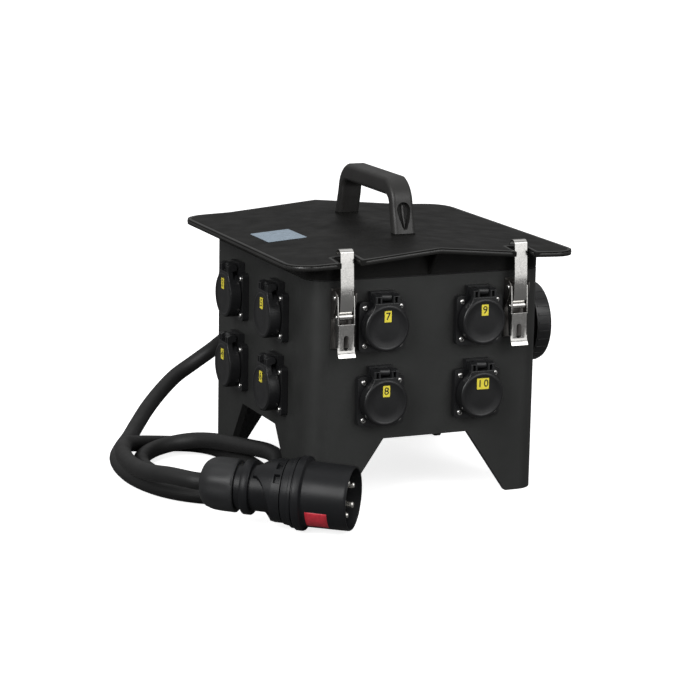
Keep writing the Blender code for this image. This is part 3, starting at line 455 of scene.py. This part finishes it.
def make_lights():
    bpy.context.scene.view_settings.view_transform = "Standard"
    aim = (0, 0, 0.12)
    area_light("key", (-1.9, -1.3, 1.3), aim, (1.4, 1.4), KEY_POWER)
    area_light("front", (0.95, -2.0, 1.45), aim, (1.7, 1.1), FRONT_POWER)
    area_light("top", (0.2, 0.6, 2.4), aim, (2.2, 2.2), TOP_POWER)
    area_light("card", (0.62, -1.64, 0.28), (0, 0, 0.28), (1.0, 0.46), CARD_POWER)


def loft(name, rings, skin, angle=35):
    """A closed solid through rings that have the same number of points."""
    builder = bmesh.new()
    made = [[builder.verts.new(point) for point in ring] for ring in rings]
    for ring, following in zip(made, made[1:]):
        for index in range(len(ring)):
            after = (index + 1) % len(ring)
            builder.faces.new((ring[index], ring[after], following[after], following[index]))
    builder.faces.new(made[0])
    builder.faces.new(made[-1])
    return add_object(name, builder, skin, angle)


def prism(name, outline, low, high, skin, axes="XYZ", shift=None):
    """An outline in the first two axes, extruded along the third; shift(first, second) raises it."""
    order = ["XYZ".index(letter) for letter in axes]
    rings = []
    for level in (low, high):
        ring = []
        for first, second in outline:
            point = [0.0, 0.0, 0.0]
            point[order[0]] = first
            point[order[1]] = second
            point[order[2]] = level + (shift(first, second) if shift else 0.0)
            ring.append(point)
        rings.append(ring)
    return loft(name, rings, skin)


def block(name, low, high, skin):
    outline = [(low[0], low[1]), (high[0], low[1]), (high[0], high[1]), (low[0], high[1])]
    return prism(name, outline, low[2], high[2], skin)


def around(radius, turned, height=0.0):
    """The point at an angle about Z."""
    return (radius * math.cos(turned), radius * math.sin(turned), height)


def lathe(name, profile, skin, segments=64, reach=None, angle=35):
    """A solid of revolution about Z; reach(radius, height, angle) may change the radius."""
    builder = bmesh.new()
    rings = []
    for radius, height in profile:
        if radius == 0.0:
            rings.append([builder.verts.new((0.0, 0.0, height))])
            continue
        ring = []
        for index in range(segments):
            turned = 2 * math.pi * index / segments
            own = reach(radius, height, turned) if reach else radius
            ring.append(builder.verts.new(around(own, turned, height)))
        rings.append(ring)
    for ring, following in zip(rings, rings[1:]):
        for index in range(segments):
            after = (index + 1) % segments
            if len(ring) == 1:
                builder.faces.new((ring[0], following[index], following[after]))
            elif len(following) == 1:
                builder.faces.new((ring[index], ring[after], following[0]))
            else:
                builder.faces.new((ring[index], ring[after], following[after], following[index]))
    return add_object(name, builder, skin, angle)


def rounded_rectangle(width, depth, radius, steps=6, centre=(0.0, 0.0)):
    points = []
    for side_x, side_y, start in CORNERS:
        for step in range(steps + 1):
            turned = math.radians(start + 90 * step / steps)
            x = side_x * (width / 2 - radius) + radius * math.cos(turned)
            y = side_y * (depth / 2 - radius) + radius * math.sin(turned)
            points.append((centre[0] + x, centre[1] + y))
    return points


def arc(centre, radius, start, end, steps):
    points = []
    for step in range(steps + 1):
        turned = math.radians(start + (end - start) * step / steps)
        points.append((centre[0] + radius * math.cos(turned), centre[1] + radius * math.sin(turned)))
    return points


def ribbon(path, thickness):
    """The outline of a bent strip whose middle line is the path."""
    left, right = [], []
    for index, point in enumerate(path):
        before = Vector(path[max(index - 1, 0)])
        after = Vector(path[min(index + 1, len(path) - 1)])
        along = (after - before).normalized()
        across = Vector((-along.y, along.x)) * thickness / 2
        left.append(tuple(Vector(point) + across))
        right.append(tuple(Vector(point) - across))
    return left + right[::-1]


def turn(piece, turning):
    piece.data.transform(turning)
    return piece


def bake(piece):
    """Turn a piece's modifiers into its own mesh."""
    bpy.context.view_layer.update()
    graph = bpy.context.evaluated_depsgraph_get()
    baked = bpy.data.meshes.new_from_object(piece.evaluated_get(graph))
    piece.modifiers.clear()
    piece.data = baked
    return piece


def cut(piece, cutters):
    """Cut shapes out of a piece; the cut faces take the cutter's material."""
    for cutter in cutters:
        step = piece.modifiers.new("cut", "BOOLEAN")
        step.material_mode = "TRANSFER"
        step.object = cutter
    bake(piece)
    for cutter in cutters:
        bpy.data.objects.remove(cutter)
    return piece


def join(name, parts):
    """One piece from several, each keeping its own material."""
    builder = bmesh.new()
    skins = []
    for part in parts:
        if part.modifiers:
            bake(part)
        mesh = part.data
        places = []
        for skin in mesh.materials:
            if skin not in skins:
                skins.append(skin)
            places.append(skins.index(skin))
        mesh.transform(part.matrix_world)
        for polygon in mesh.polygons:
            polygon.material_index = places[min(polygon.material_index, len(places) - 1)]
        builder.from_mesh(mesh)
    mesh = bpy.data.meshes.new(name)
    builder.to_mesh(mesh)
    builder.free()
    for skin in skins:
        mesh.materials.append(skin)
    for part in parts:
        bpy.data.objects.remove(part)
    return link(name, mesh)


def fixed(kind, walls):
    """Where copies go that stay with the box and stand for no CAD node."""
    return [(f"{kind}_{name}", place, "box", ()) for name, place in walls.items()]


def moving(kind, walls, body, node):
    """Where copies go that move, each in place of its CAD node."""
    return [(f"{kind}_{name}", place, f"{body}_{name}", (f"{node}_{name}",))
            for name, place in walls.items()]


def copies(model, places):
    """Copies of a modelled piece: name, place, body and the CAD nodes that it stands for."""
    for name, place, body, stands_for in places:
        settle(link(name, model.data), place, body, stands_for)
    bpy.data.objects.remove(model)


def settle(piece, place, body, stands_for=()):
    piece.matrix_world = place
    if stands_for:
        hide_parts(*stands_for)
    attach(piece, body)
    return piece


# Fixings --------------------------------------------------

def screw(radius, height, skins):
    """Pan head with a cross recess, standing on Z = 0."""
    head = lathe("head", [(0, -0.0004), (radius, -0.0004), (radius, height * 0.35),
                          (radius * 0.90, height * 0.70), (radius * 0.66, height * 0.93),
                          (radius * 0.3, height), (0, height)], skins["screw"], 24, angle=50)
    parts = [head]
    # the cross recess is two near-black blocks: painted shade
    for long, wide in ((radius * 0.55, radius * 0.13), (radius * 0.13, radius * 0.55)):
        parts.append(block("recess_painted_shade", (-long, -wide, height * 0.6), (long, wide, height + 0.00003),
                           skins["painted_shade"]))
    return join("screw", parts)


def cross_pin(centre, radius, half, skins, segments):
    """Round pin along X, at its height and distance from the wall."""
    profile = [(0, -half), (radius, -half), (radius, half), (0, half)]
    pin = lathe("pin", profile, skins["screw"], segments)
    return turn(pin, Matrix.Translation((0, *centre)) @ Matrix.Rotation(math.pi / 2, 4, "Y"))


def four_corners(half, out):
    return [(x, y, out) for x in (-half, half) for y in (-half, half)]


def screws(places, radius, height, skins):
    """Screws in a row, each left at its own turn."""
    parts = []
    for index, spot in enumerate(places):
        part = screw(radius, height, skins)
        parts.append(turn(part, Matrix.Translation(spot) @ Matrix.Rotation(0.5 + 0.8 * index, 4, "Z")))
    return join("screws", parts)


# Handle ---------------------------------------------------

HANDLE_WIDTH, HANDLE_FOOT, HANDLE_CORNER = 0.024, 0.0790, 0.0046
HANDLE_SHOULDER = (-0.0490, 0.2860)      # centre of the curve between leg and bar
DROP_HEIGHTS = (0.2660, 0.2790, 0.2878)  # foot, middle and top of the recess in each leg
HANDLE_FACE = [(0.2590, -0.0790), (0.2720, -0.0757), (0.2815, -0.0728), (0.2891, -0.0710),
               (0.2953, -0.0694)]


def handle_stations():
    """Inner and outer points of the handle's cross-sections, from one foot to the other."""
    foot_z = RIDGE_Z + 0.0008 + 0.0003
    half = [((-HANDLE_FOOT + 0.0135, foot_z), (-HANDLE_FOOT, foot_z)),
            ((-0.0640, 0.2650), (-0.0775, 0.2650)),
            ((-0.0622, 0.2720), (-0.0757, 0.2720)),
            ((-0.0610, 0.2766), (-0.0743, 0.2768)),
            ((-0.0598, 0.2810), (-0.0728, 0.2815))]
    steps = 14
    for step in range(steps + 1):
        turned = math.radians(172 - 82 * step / steps)
        half.append([(HANDLE_SHOULDER[0] + radius * math.cos(turned),
                      HANDLE_SHOULDER[1] + radius * math.sin(turned))
                     for radius in (0.0100, 0.0222 + 0.0063 * (step / steps) ** 2)])
    return half + [((-inner[0], inner[1]), (-outer[0], outer[1])) for inner, outer in half[::-1]]


def face_y(height):
    """The front leg's outer face."""
    for (low, first), (high, second) in zip(HANDLE_FACE, HANDLE_FACE[1:]):
        if height <= high or high == HANDLE_FACE[-1][0]:
            return first + (second - first) * (height - low) / (high - low)


def make_handle(skins):
    rings = []
    for inner, outer in handle_stations():
        inner, outer = Vector(inner), Vector(outer)
        span = (outer - inner).length
        ring = []
        for x, along in rounded_rectangle(HANDLE_WIDTH, span, HANDLE_CORNER, 6):
            point = inner + (outer - inner) * (along / span + 0.5)
            ring.append((x, point.x, point.y))
        rings.append(ring)
    handle = loft("carry_handle", rings, skins["handle"], 40)
    # a drop shaped recess in the face of each leg, with a ridge down its middle
    foot, middle, top = DROP_HEIGHTS
    drop = arc((0.0, 0.2838), 0.0080, -18, 198, 14)
    drop += [(-0.0060, 0.2735), (-0.0020, 0.2630), (0.0020, 0.2630), (0.0060, 0.2735)]
    parts = []
    cutters = []
    for side in (-1, 1):
        rings = []
        for depth, scale in ((-0.0040, 1.06), (0.0042, 0.80)):
            ring = []
            for x, z in drop:
                z = middle + (z - middle) * scale
                ring.append((x * scale, side * -(face_y(z) + depth), z))
            rings.append(ring)
        # the cut faces take the darker recess material: painted shade
        cutters.append(loft("drop", rings, skins["recess_painted_shade"]))
        rings = []
        for step in range(9):
            z = foot + (top - foot) * step / 8
            wide = 0.0006 + 0.0014 * min(step / 5, 1.0)
            ring = []
            for point in range(9):
                turned = math.pi * point / 8
                y = face_y(z) + 0.0046 - 0.0034 * math.sin(turned)
                ring.append((wide * math.cos(turned), side * -y, z))
            rings.append(ring)
        parts.append(loft("ridge", rings, skins["handle"]))
    cut(handle, cutters)
    handle.data.shade_smooth()
    handle.data.set_sharp_from_angle(angle=math.radians(40))
    handle = join("carry_handle", [handle] + parts)
    settle(handle, Matrix.Translation(BOX), "box", ["handle"])


# Outlets --------------------------------------------------

def small_outlets():
    """Each small outlet's wall frame, and its number, by name."""
    columns = [("front_a", "front", -0.0526, (7, 8)), ("front_b", "front", 0.0526, (9, 10)),
               ("left_a", "left", 0.0555, (3, 4)), ("left_b", "left", -0.0555, (5, 6)),
               ("back", "back", 0.0526, (1, 2))]
    walls, numbers = {}, {}
    for name, side, along, pair in columns:
        for (row, height), number in zip(SOCKET_ROWS.items(), pair):
            walls[f"{name}_{row}"] = wall(side, along, height)
            numbers[f"{name}_{row}"] = number
    return walls, numbers


def number_mesh(number, skins):
    """A printed number, flat in X and Y, centred."""
    curve = bpy.data.curves.new("number", "FONT")
    curve.body = str(number)
    curve.size = 0.0105
    curve.align_x, curve.align_y = "CENTER", "CENTER"
    curve.extrude = 0.00006
    curve.offset = 0.00012
    curve.space_character = 1.30
    return link("number", mesh_of(curve, skins["ink"]))


def cap_model(skins):
    """The sprung cap in its outlet's wall frame: dished disc, shoulders and two slotted hinge arms."""
    disc = lathe("disc", [
        (0, 0.0150), (0.0216, 0.0150), (0.0216, 0.0076), (0.0228, 0.0076), (CAP_RADIUS, 0.0082),
        (CAP_RADIUS, 0.0178), (0.0231, 0.0189), (0.0224, 0.0196), (0.0214, CAP_TOP), (0.0204, CAP_TOP),
        (0.0198, 0.0197), (0.0194, 0.0195), (0.0120, 0.0196), (0, 0.0197)],
        skins["socket"], 72, angle=28)
    low, high = HINGE_BAR
    face = CAP_TOP - 0.0012
    right = [(0.0206, 0.0090), (0.0180, 0.0142), (0.0150, 0.0190), (high + 0.0006, 0.0218),
             (high, 0.0235), (high, 0.0250)]
    outline = right + [(-x, y) for x, y in right[::-1]]
    shoulders = prism("shoulders", outline, 0.0130, face + 0.0004, skins["socket"])
    parts = [disc, soften(shoulders, 0.0009, 3)]
    profile = [(0.0240, face), (0.0240, 0.0153), (0.0262, 0.0120), (0.0272, 0.0092), (0.0300, 0.0082),
               (0.0328, 0.0100), (0.0334, 0.0125), (0.0332, 0.0155), (0.0315, face)]
    tie = [(0.0306, face - 0.0003), (0.0306, 0.0090), (0.0326, 0.0102), (0.0332, 0.0125),
           (0.0330, 0.0154), (0.0313, face - 0.0003)]
    for side in (-1, 1):
        for near, far in ((low, 0.0078), (0.0105, high)):
            near, far = sorted((side * near, side * far))
            parts.append(soften(prism("bar", profile, near, far, skins["socket"], "YZX"), 0.0004, 2))
        near, far = sorted((side * (low + 0.001), side * (high - 0.001)))
        parts.append(soften(prism("tie", tie, near, far, skins["socket"], "YZX"), 0.0003, 2))
    return join("cap_model", parts)


def insert_model(skins):
    """A small outlet's contact plate with its two holes, the earth clips, and the cap's hinge pin."""
    plate = lathe("plate", [(0, -0.0034), (0.0192, -0.0034), (0.0192, -0.0012), (0, -0.0012)],
                  skins["socket"], 48)
    # the holes' walls take the near-black cutter material: painted shade
    holes = []
    for side in (-1, 1):
        hole = lathe("hole", [(0, -0.0030), (0.0026, -0.0030), (0.0026, 0.0010), (0, 0.0010)],
                     skins["painted_shade"], 20)
        holes.append(turn(hole, Matrix.Translation((side * 0.0095, 0, 0))))
    parts = [cut(plate, holes)]
    for side in (-1, 1):
        clip = [(side * 0.0186, -0.0020), (side * 0.0178, 0.0010), (side * 0.0160, 0.0045),
                (side * 0.0163, 0.0070), (side * 0.0184, 0.0105)]
        parts.append(prism("clip", ribbon(clip, 0.0007), -0.0024, 0.0024, skins["pin"], "YZX"))
        guide = block("guide", (side * 0.0192 - 0.0011, -0.0022, -0.0034),
                      (side * 0.0192 + 0.0011, 0.0022, 0.0130), skins["socket"])
        parts.append(soften(guide, 0.0003))
    parts.append(cross_pin(CAP_HINGE, 0.0010, 0.0128, skins, 16))
    return join("insert_model", parts)


def make_sockets(skins):
    walls, numbers = small_outlets()
    fixings = screws(four_corners(SOCKET_SCREW, 0.0070), 0.0029, 0.0018, skins)
    copies(fixings, fixed("screws", walls))
    copies(insert_model(skins), fixed("contacts", walls))
    copies(cap_model(skins), moving("lid", walls, "cap", "cap"))
    for name, place in walls.items():
        wide = 0.0132 if numbers[name] > 9 else 0.0074
        outline = rounded_rectangle(wide, 0.0112, 0.0005, 3)
        plate = soften(prism("plate", outline, 0.0, 0.00035, skins["yellow"]), 0.0001)
        figure = turn(number_mesh(numbers[name], skins), Matrix.Translation((0, 0, 0.00036)))
        label = join(f"label_{name}", [plate, figure])
        settle(label, place @ Matrix.Translation((0, 0.0118, 0.0196)), f"cap_{name}")


def make_outlet(skins):
    place = wall("right", 0.0, OUTLET_Z)
    fixings = screws(four_corners(OUTLET_SCREW, 0.0065), 0.0033, 0.0020, skins)
    settle(join("outlet_screws", [fixings]), place, "box")
    pin = cross_pin(OUTLET_HINGE, 0.0014, 0.0142, skins, 20)
    settle(join("outlet_hinge_pin", [pin]), place, "box")
    # finger grips round the cap, and a raised ring on its face
    parts = []
    for index in range(28):
        turned = 2 * math.pi * (index + 0.5) / 28
        if abs(turned - math.pi / 2) < 0.42:
            continue
        rib = block("rib", (0.0420, -0.0016, 0.0480), (0.0428, 0.0016, 0.0605), skins["socket"])
        parts.append(turn(bake(soften(rib, 0.0003)), Matrix.Rotation(turned, 4, "Z")))
    parts.append(lathe("ring", [(0.0260, 0.0655), (0.0266, 0.0660), (0.0268, 0.0663), (0.0284, 0.0663),
                                (0.0288, 0.0660), (0.0294, 0.0655)], skins["socket"], 64))
    settle(join("outlet_cap_grips", parts), place, "outlet_cap")
    profile = [(0.0374, 0.0130), (0.0384, 0.0134), (0.0384, 0.0160), (0.0374, 0.0164)]
    ridge = lathe("outlet_barrel_ridge", profile, skins["socket"])
    settle(ridge, place, "box")


# Latches --------------------------------------------------

EAR_OUTER, LEVER_HALF, STRAP_HALF = 0.0111, 0.0092, 0.0070
SHEET = 0.0013                           # thickness of the lever's and the strap's sheet


def side_head(profile, hand, aside, pivot, skins, segments):
    """A pin's head on the outer face of an arm or ear."""
    head = lathe("head", profile, skins["screw"], segments, angle=60)
    outward = Matrix.Rotation(hand * math.pi / 2, 4, "Y")
    return turn(head, Matrix.Translation((hand * aside, *pivot)) @ outward)


def lever_model(skins):
    """The lever with its slot, its two arms and the strap's pin."""
    front = 0.0138
    plate = prism("plate", [(0.1870, front), (0.1870, front - SHEET), (0.1600, front - SHEET),
                            (0.1545, front + 0.0020), (0.1545, front + 0.0035), (0.1610, front)],
                  -LEVER_HALF, LEVER_HALF, skins["steel"], "YZX")
    slot = prism("slot", rounded_rectangle(0.0052, 0.0148, 0.0025, 6, (0, 0.1685)), 0.0100, 0.0180,
                 skins["steel"])
    parts = [soften(cut(plate, [slot]), 0.00025)]
    for hand in (-1, 1):
        low, high = sorted((hand * (LEVER_HALF - SHEET), hand * LEVER_HALF))
        arm = [(0.1640, front), (0.1640, 0.0090), (0.1900, 0.0055), (0.2100, 0.0050), (0.2150, 0.0056),
               (0.2165, 0.0075), (0.2165, 0.0100), (0.2145, 0.0120), (0.1960, 0.0132), (0.1860, front)]
        parts.append(soften(prism("arm", arm, low, high, skins["steel"], "YZX"), 0.00025))
        profile = [(0, 0.0), (0.0020, 0.0), (0.0018, 0.0004), (0.0010, 0.0007), (0, 0.0008)]
        parts.append(side_head(profile, hand, LEVER_HALF, STRAP_PIVOT, skins, 20))
    parts.append(cross_pin(STRAP_PIVOT, 0.0016, LEVER_HALF, skins, 20))
    return join("lever_model", parts)


def strap_model(skins):
    """The bent strap, from its eye on the lever's pin to its hook over the lid."""
    height, out = STRAP_PIVOT
    eye = arc((height, out), 0.0026, 200, -60, 20)
    shank = [(0.2000, 0.0126), (0.2040, 0.0133), (0.2120, 0.0139), (0.2180, 0.0140), (0.2260, 0.0137),
             (0.2480, 0.0122)]
    hook = arc((0.2545, 0.0066), 0.0056, 62, -62, 12)
    path = eye + shank + hook + [(0.2552, 0.0005), (0.2546, -0.0018)]
    strap = prism("strap", ribbon(path, SHEET), -STRAP_HALF, STRAP_HALF, skins["steel"], "YZX")
    return join("strap_model", [soften(strap, 0.00025)])


def rivet_model(skins):
    """Rivets of a latch's base: the lever's pivot at both ears, and two heads on the plate."""
    profile = [(0, 0.0), (0.0027, 0.0), (0.0026, 0.0004), (0.0018, 0.0010), (0, 0.0013)]
    parts = [side_head(profile, hand, EAR_OUTER, LATCH_PIVOT, skins, 24) for hand in (-1, 1)]
    for height in (0.1665, 0.1780):
        profile = [(0, 0.0), (0.0025, 0.0), (0.0023, 0.0009), (0.0012, 0.0016), (0, 0.0018)]
        head = lathe("head", profile, skins["screw"], 24, angle=60)
        parts.append(turn(head, Matrix.Translation((0, height, 0.0018))))
    return join("rivet_model", parts)


def latch_walls(side):
    return {"left": wall(side, -LATCH_X, 0.0), "right": wall(side, LATCH_X, 0.0)}


def make_latches(skins):
    places = latch_walls("front")
    copies(lever_model(skins), moving("lever_plate", places, "lever", "latch_lever"))
    copies(strap_model(skins), moving("hook_strap", places, "strap", "latch_strap"))
    copies(rivet_model(skins), fixed("latch_rivets", places))


def make_hinge_fixings(skins):
    """Pins and screws of the two hinges under the rear brim."""
    for hand, place in latch_walls("back").items():
        end = [(0, 0.0162), (0.0016, 0.0162), (0.0019, 0.0158), (0.0019, 0.0151), (0.0012, 0.0150)]
        pin = lathe("pin", [(radius, -height) for radius, height in end] + end[::-1], skins["screw"], 24)
        turn(pin, Matrix.Translation((0, *LID_HINGE)) @ Matrix.Rotation(math.pi / 2, 4, "Y"))
        spots = [(x, LID_HINGE[0] + up, 0.0018) for up in (0.0095, -0.0150) for x in (-0.0100, 0.0100)]
        fixings = join(f"lid_hinge_pin_{hand}", [pin, screws(spots, 0.0023, 0.0014, skins)])
        settle(fixings, place, "box")


# Cable entry and plug -------------------------------------

def clamp(value):
    return min(max(value, 0.0), 1.0)


def smooth(value):
    """0 up to 0 and 1 from 1, with soft ends between them."""
    share = clamp(value)
    return share * share * (3 - 2 * share)


def bump_between(value, low, high, soft):
    """1 between low and high, falling smoothly to 0 over soft on either side."""
    return smooth(min((value - low) / soft, (high - value) / soft) + 0.5)


def angle_between(turned, centre):
    return (turned - centre + math.pi) % (2 * math.pi) - math.pi


def make_gland(skins):
    place = wall("back", GLAND_X, GLAND_Z)

    def fluted(radius, height, turned):
        along = bump_between(height, 0.0195, 0.0385, 0.003)
        return radius - 0.0007 * (0.5 + 0.5 * math.cos(16 * turned)) * along

    nut = lathe("cable_nut", [
        (0, 0.0173), (0.0185, 0.0173), (0.0195, 0.0182), (0.0195, 0.0200), (0.0195, 0.0230),
        (0.0195, 0.0280), (0.0194, 0.0330), (0.0188, 0.0355), (0.0178, 0.0385), (0.0160, 0.0415),
        (0.0136, 0.0440), (0.0120, GLAND_LENGTH), (0.0086, GLAND_LENGTH), (0.0086, 0.0430),
        (0, 0.0430)],
        skins["plug"], 128, fluted, 30)
    settle(nut, place, "box", ["gland_nut"])

    def hexagon(radius, height, turned):
        return min(radius, 0.0190 / math.cos((turned % (math.pi / 3)) - math.pi / 6))

    body = lathe("cable_entry", [
        (0, -0.0200), (0.0140, -0.0200), (0.0140, 0.0003), (0.0210, 0.0003), (0.0215, 0.0010),
        (0.0215, 0.0044), (0.0206, 0.0054), (0.0168, 0.0058), (0.0168, 0.0170), (0, 0.0170)],
        skins["plug"], 96, hexagon, 30)
    settle(body, place, "box", ["gland_body"])


def make_plug(skins):
    place = plug_place()
    facing = math.radians(-78)           # the side that looks up and to the front

    def nut_reach(radius, height, turned):
        along = bump_between(height, 0.0080, 0.0335, 0.006)
        crease = abs(math.cos(5 * (turned - facing)))
        return radius - along * (0.0007 * crease ** 2 - 0.0001)

    nut = lathe("strain_nut", [
        (0, 0.0012), (0.0090, 0.0006), (0.0118, 0.0), (0.0145, 0.0006), (0.0182, 0.0022),
        (0.0212, 0.0045), (0.0234, 0.0074), (0.0248, 0.0106), (0.0256, 0.0140), (0.0260, 0.0180),
        (0.0262, 0.0230), (0.0262, 0.0290), (0.0262, 0.0345), (0.0259, 0.0362), (0.0250, 0.0370),
        (0, 0.0370)],
        skins["nut"], 160, nut_reach, 40)
    settle(nut, place, "box", ["plug_nut"])

    def scoop_end(turned):
        """Where the finger scoops, one on each side, give way to the full body."""
        end = 0.0560
        for centre in SCOOPS:
            aside = angle_between(turned, centre)
            if abs(aside) < SCOOP_HALF:
                end = 0.0585 + 0.0160 * math.cos(aside / SCOOP_HALF * math.pi / 2) ** 0.7
        return end

    def rear_reach(radius, height, turned):
        """Narrow in the scoops, wider towards the front, and sunk at the windows."""
        if height < GRIP_START:
            return radius
        full = 0.0262 + 0.0046 * clamp((height - 0.0560) / 0.0210) ** 0.8
        step = smooth((height - scoop_end(turned)) / 0.0018 + 0.5)
        own = SCOOP_RADIUS + (full - SCOOP_RADIUS) * step
        if 0.0785 < height < 0.0840:
            for centre in WINDOWS:
                own -= 0.0034 * (abs(angle_between(turned, centre)) < math.radians(8))
        return min(own, radius)

    profile = [(0, 0.0373), (0.0221, 0.0373), (0.0225, 0.0377), (0.0225, 0.0437), (0.0262, 0.0441),
               (0.0267, 0.0448), (0.0268, 0.0480), (0.0267, 0.0512), (0.0260, 0.0522),
               (0.0240, GRIP_START)]
    profile += [(0.0308, GRIP_START + 0.0004 * step) for step in range(1, 83)] + [(0, 0.0858)]
    rear = lathe("plug_grip", profile, skins["plug"], 168, rear_reach, 34)
    settle(rear, place, "box", ["plug_rear"])

    front = lathe("plug_shroud", [
        (0, 0.0863), (0.0310, 0.0863), (0.0318, 0.0868), (0.0324, 0.0900), (0.0326, 0.0935),
        (0.0340, 0.0938), (0.0344, 0.0944), (0.0344, 0.0968), (0.0336, 0.0974), (0.0336, 0.0982),
        (0.0354, 0.0986), (0.0360, 0.0993), (0.0360, 0.1046), (0.0356, 0.1056), (0.0346, 0.1062),
        (0.0328, 0.1066), (0.0318, 0.1074), (0.0317, 0.1100), (0.0312, 0.1480), (0.0310, 0.1500),
        (0.0305, 0.1509), (0.0298, PLUG_LENGTH), (0.0293, 0.1508), (0.0289, 0.1500), (0.0288, 0.1060),
        (0, 0.1060)], skins["plug"], 128, angle=30)
    outline = rounded_rectangle(0.0068, 0.0034, 0.0014, 4, (0, 0.0322))
    nub = soften(prism("nub", outline, 0.1180, 0.1502, skins["plug"]), 0.0005)
    key = turn(bake(nub), Matrix.Rotation(PLUG_KEY - math.pi / 2, 4, "Z"))
    shroud = join("plug_shroud", [front, key])
    settle(shroud, place, "box", ["plug_front"])

    # the pin carrier is near black: painted shade deep in the shroud
    carrier = lathe("carrier", [(0, 0.1063), (0.0270, 0.1063), (0.0270, 0.1106), (0.0266, 0.1110),
                                (0, 0.1110)], skins["painted_shade"], 64)
    parts = [carrier]
    for index in range(5):
        turned = PLUG_KEY + 2 * math.pi * index / 5
        radius = 0.0035 if index == 0 else 0.0030
        pin = lathe("pin", [(0, 0.1080), (radius, 0.1080), (radius, PIN_TIP - 0.0020),
                            (radius * 0.86, PIN_TIP - 0.0008), (radius * 0.5, PIN_TIP), (0, PIN_TIP)],
                    skins["pin"], 24, angle=50)
        parts.append(turn(pin, Matrix.Translation(around(PIN_CIRCLE, turned))))
    settle(join("plug_contacts", parts), place, "box", ["plug_pins"])

    builder = bmesh.new()       # the current's colour mark, wrapped round the shroud
    rows = []
    for step in range(13):
        turned = math.radians(198 + 39 * step / 12)
        row = []
        for share in range(5):
            height = 0.1112 + 0.0215 * share / 4
            radius = 0.03195 - 0.0004 * share / 4
            row.append(builder.verts.new(around(radius, turned, height)))
        rows.append(row)
    for row, following in zip(rows, rows[1:]):
        for share in range(4):
            builder.faces.new((row[share], row[share + 1], following[share + 1], following[share]))
    mark = add_object("colour_mark", builder, skins["red"])
    step = mark.modifiers.new("thick", "SOLIDIFY")
    step.thickness = 0.00025
    settle(bake(mark), place, "box")


# Lid ------------------------------------------------------

def roof(x, y):
    """Height of the lid's top: it falls from the ridge to the sides, faster at the front and back."""
    middle = RIDGE_Z + (EAVE_Z - RIDGE_Z) * min(abs(x) / (LID_X / 2), 1.0)
    if abs(x) < SHOULDER_X:
        edge = RIDGE_Z + (SHOULDER_Z - RIDGE_Z) * abs(x) / SHOULDER_X
    else:
        share = min((abs(x) - SHOULDER_X) / (LID_X / 2 - SHOULDER_X), 1.0)
        edge = SHOULDER_Z + (EAVE_Z - SHOULDER_Z) * share
    beyond = (abs(y) - BODY_Y / 2) / (LID_Y / 2 - BODY_Y / 2)
    return middle + (edge - middle) * clamp(beyond)


def make_rim(skins):
    """The rounded bead round the lid's edge and its two latch notches."""
    inset = BEAD - BEAD_PROUD
    half_x, half_y = LID_X / 2 - inset, LID_Y / 2 - inset
    corner, tight = LID_RADIUS - inset, NOTCH_CORNER
    end = NOTCH_INNER_Y - inset
    path = []
    for side_x, side_y, start in CORNERS:
        centre = (side_x * (half_x - corner), side_y * (half_y - corner))
        path += arc(centre, corner, start, start + 90, 10)
        if start != 180:
            continue
        for centre in (-LATCH_X, LATCH_X):
            near, far = centre - NOTCH_WIDTH / 2 - inset, centre + NOTCH_WIDTH / 2 + inset
            path += arc((near - tight, -half_y + tight), tight, 270, 360, 4)
            path += arc((near + tight, -end - tight), tight, 180, 90, 4)
            path += arc((far - tight, -end - tight), tight, 90, 0, 4)
            path += arc((far + tight, -half_y + tight), tight, 180, 270, 4)
    points = []
    for first, second in zip(path, path[1:] + path[:1]):
        count = max(1, round(math.dist(first, second) / BEAD_STEP))
        for step in range(count):
            x, y = Vector(first).lerp(Vector(second), step / count)
            points.append((x, y, roof(x, y) - LID_THICK / 2))
    # the bead's lighter moulding is a painted highlight along the lid's edge
    mesh = mesh_of(bar_curve("lid_rim", points, BEAD, 4, closed=True), skins["rim"])
    mesh.shade_smooth()
    settle(link("lid_rim", mesh), Matrix.Translation(BOX), "box")


def make_sticker(skins):
    """Blank film on the lid's left slope."""
    slope = (EAVE_Z - RIDGE_Z) / (LID_X / 2)
    outline = rounded_rectangle(0.042, 0.052, 0.0015, 4, (-0.108, -0.004))
    film = prism("sticker", outline, RIDGE_Z + 0.0001, RIDGE_Z + 0.0003, skins["film"],
                 shift=lambda x, y: slope * abs(x))
    settle(film, Matrix.Translation(BOX), "box")


make_camera()
skins = make_materials()
cable, cable_exit = make_cord(skins)
make_stage()
make_world()
make_lights()
dress(["housing"], skins["housing"], 0.0012)
dress(["lid"], skins["lid"], 0.0018, 3)
dress(["lid_gasket"], skins["rubber"], 0.0)
dress(["handle"], skins["handle"], 0.0)
dress(nodes(("socket_", "cap_", "outlet_")), skins["socket"], 0.0005)
# the latch bases take the darkened steel: painted shade
dress(nodes("latch_base_"), skins["plate"], 0.0002)
dress(nodes("lid_hinge_"), skins["steel"], 0.0002)
dress(["breaker_tray"], skins["zinc"], 0.0003)
dress(nodes(("breaker_", "residual_"), "_body"), skins["breaker"], 0.0004)
dress(nodes("", "_toggle"), skins["toggle"], 0.0003)
make_handle(skins)
make_sockets(skins)
make_outlet(skins)
make_latches(skins)
make_hinge_fixings(skins)
make_gland(skins)
make_plug(skins)
make_rim(skins)
make_sticker(skins)
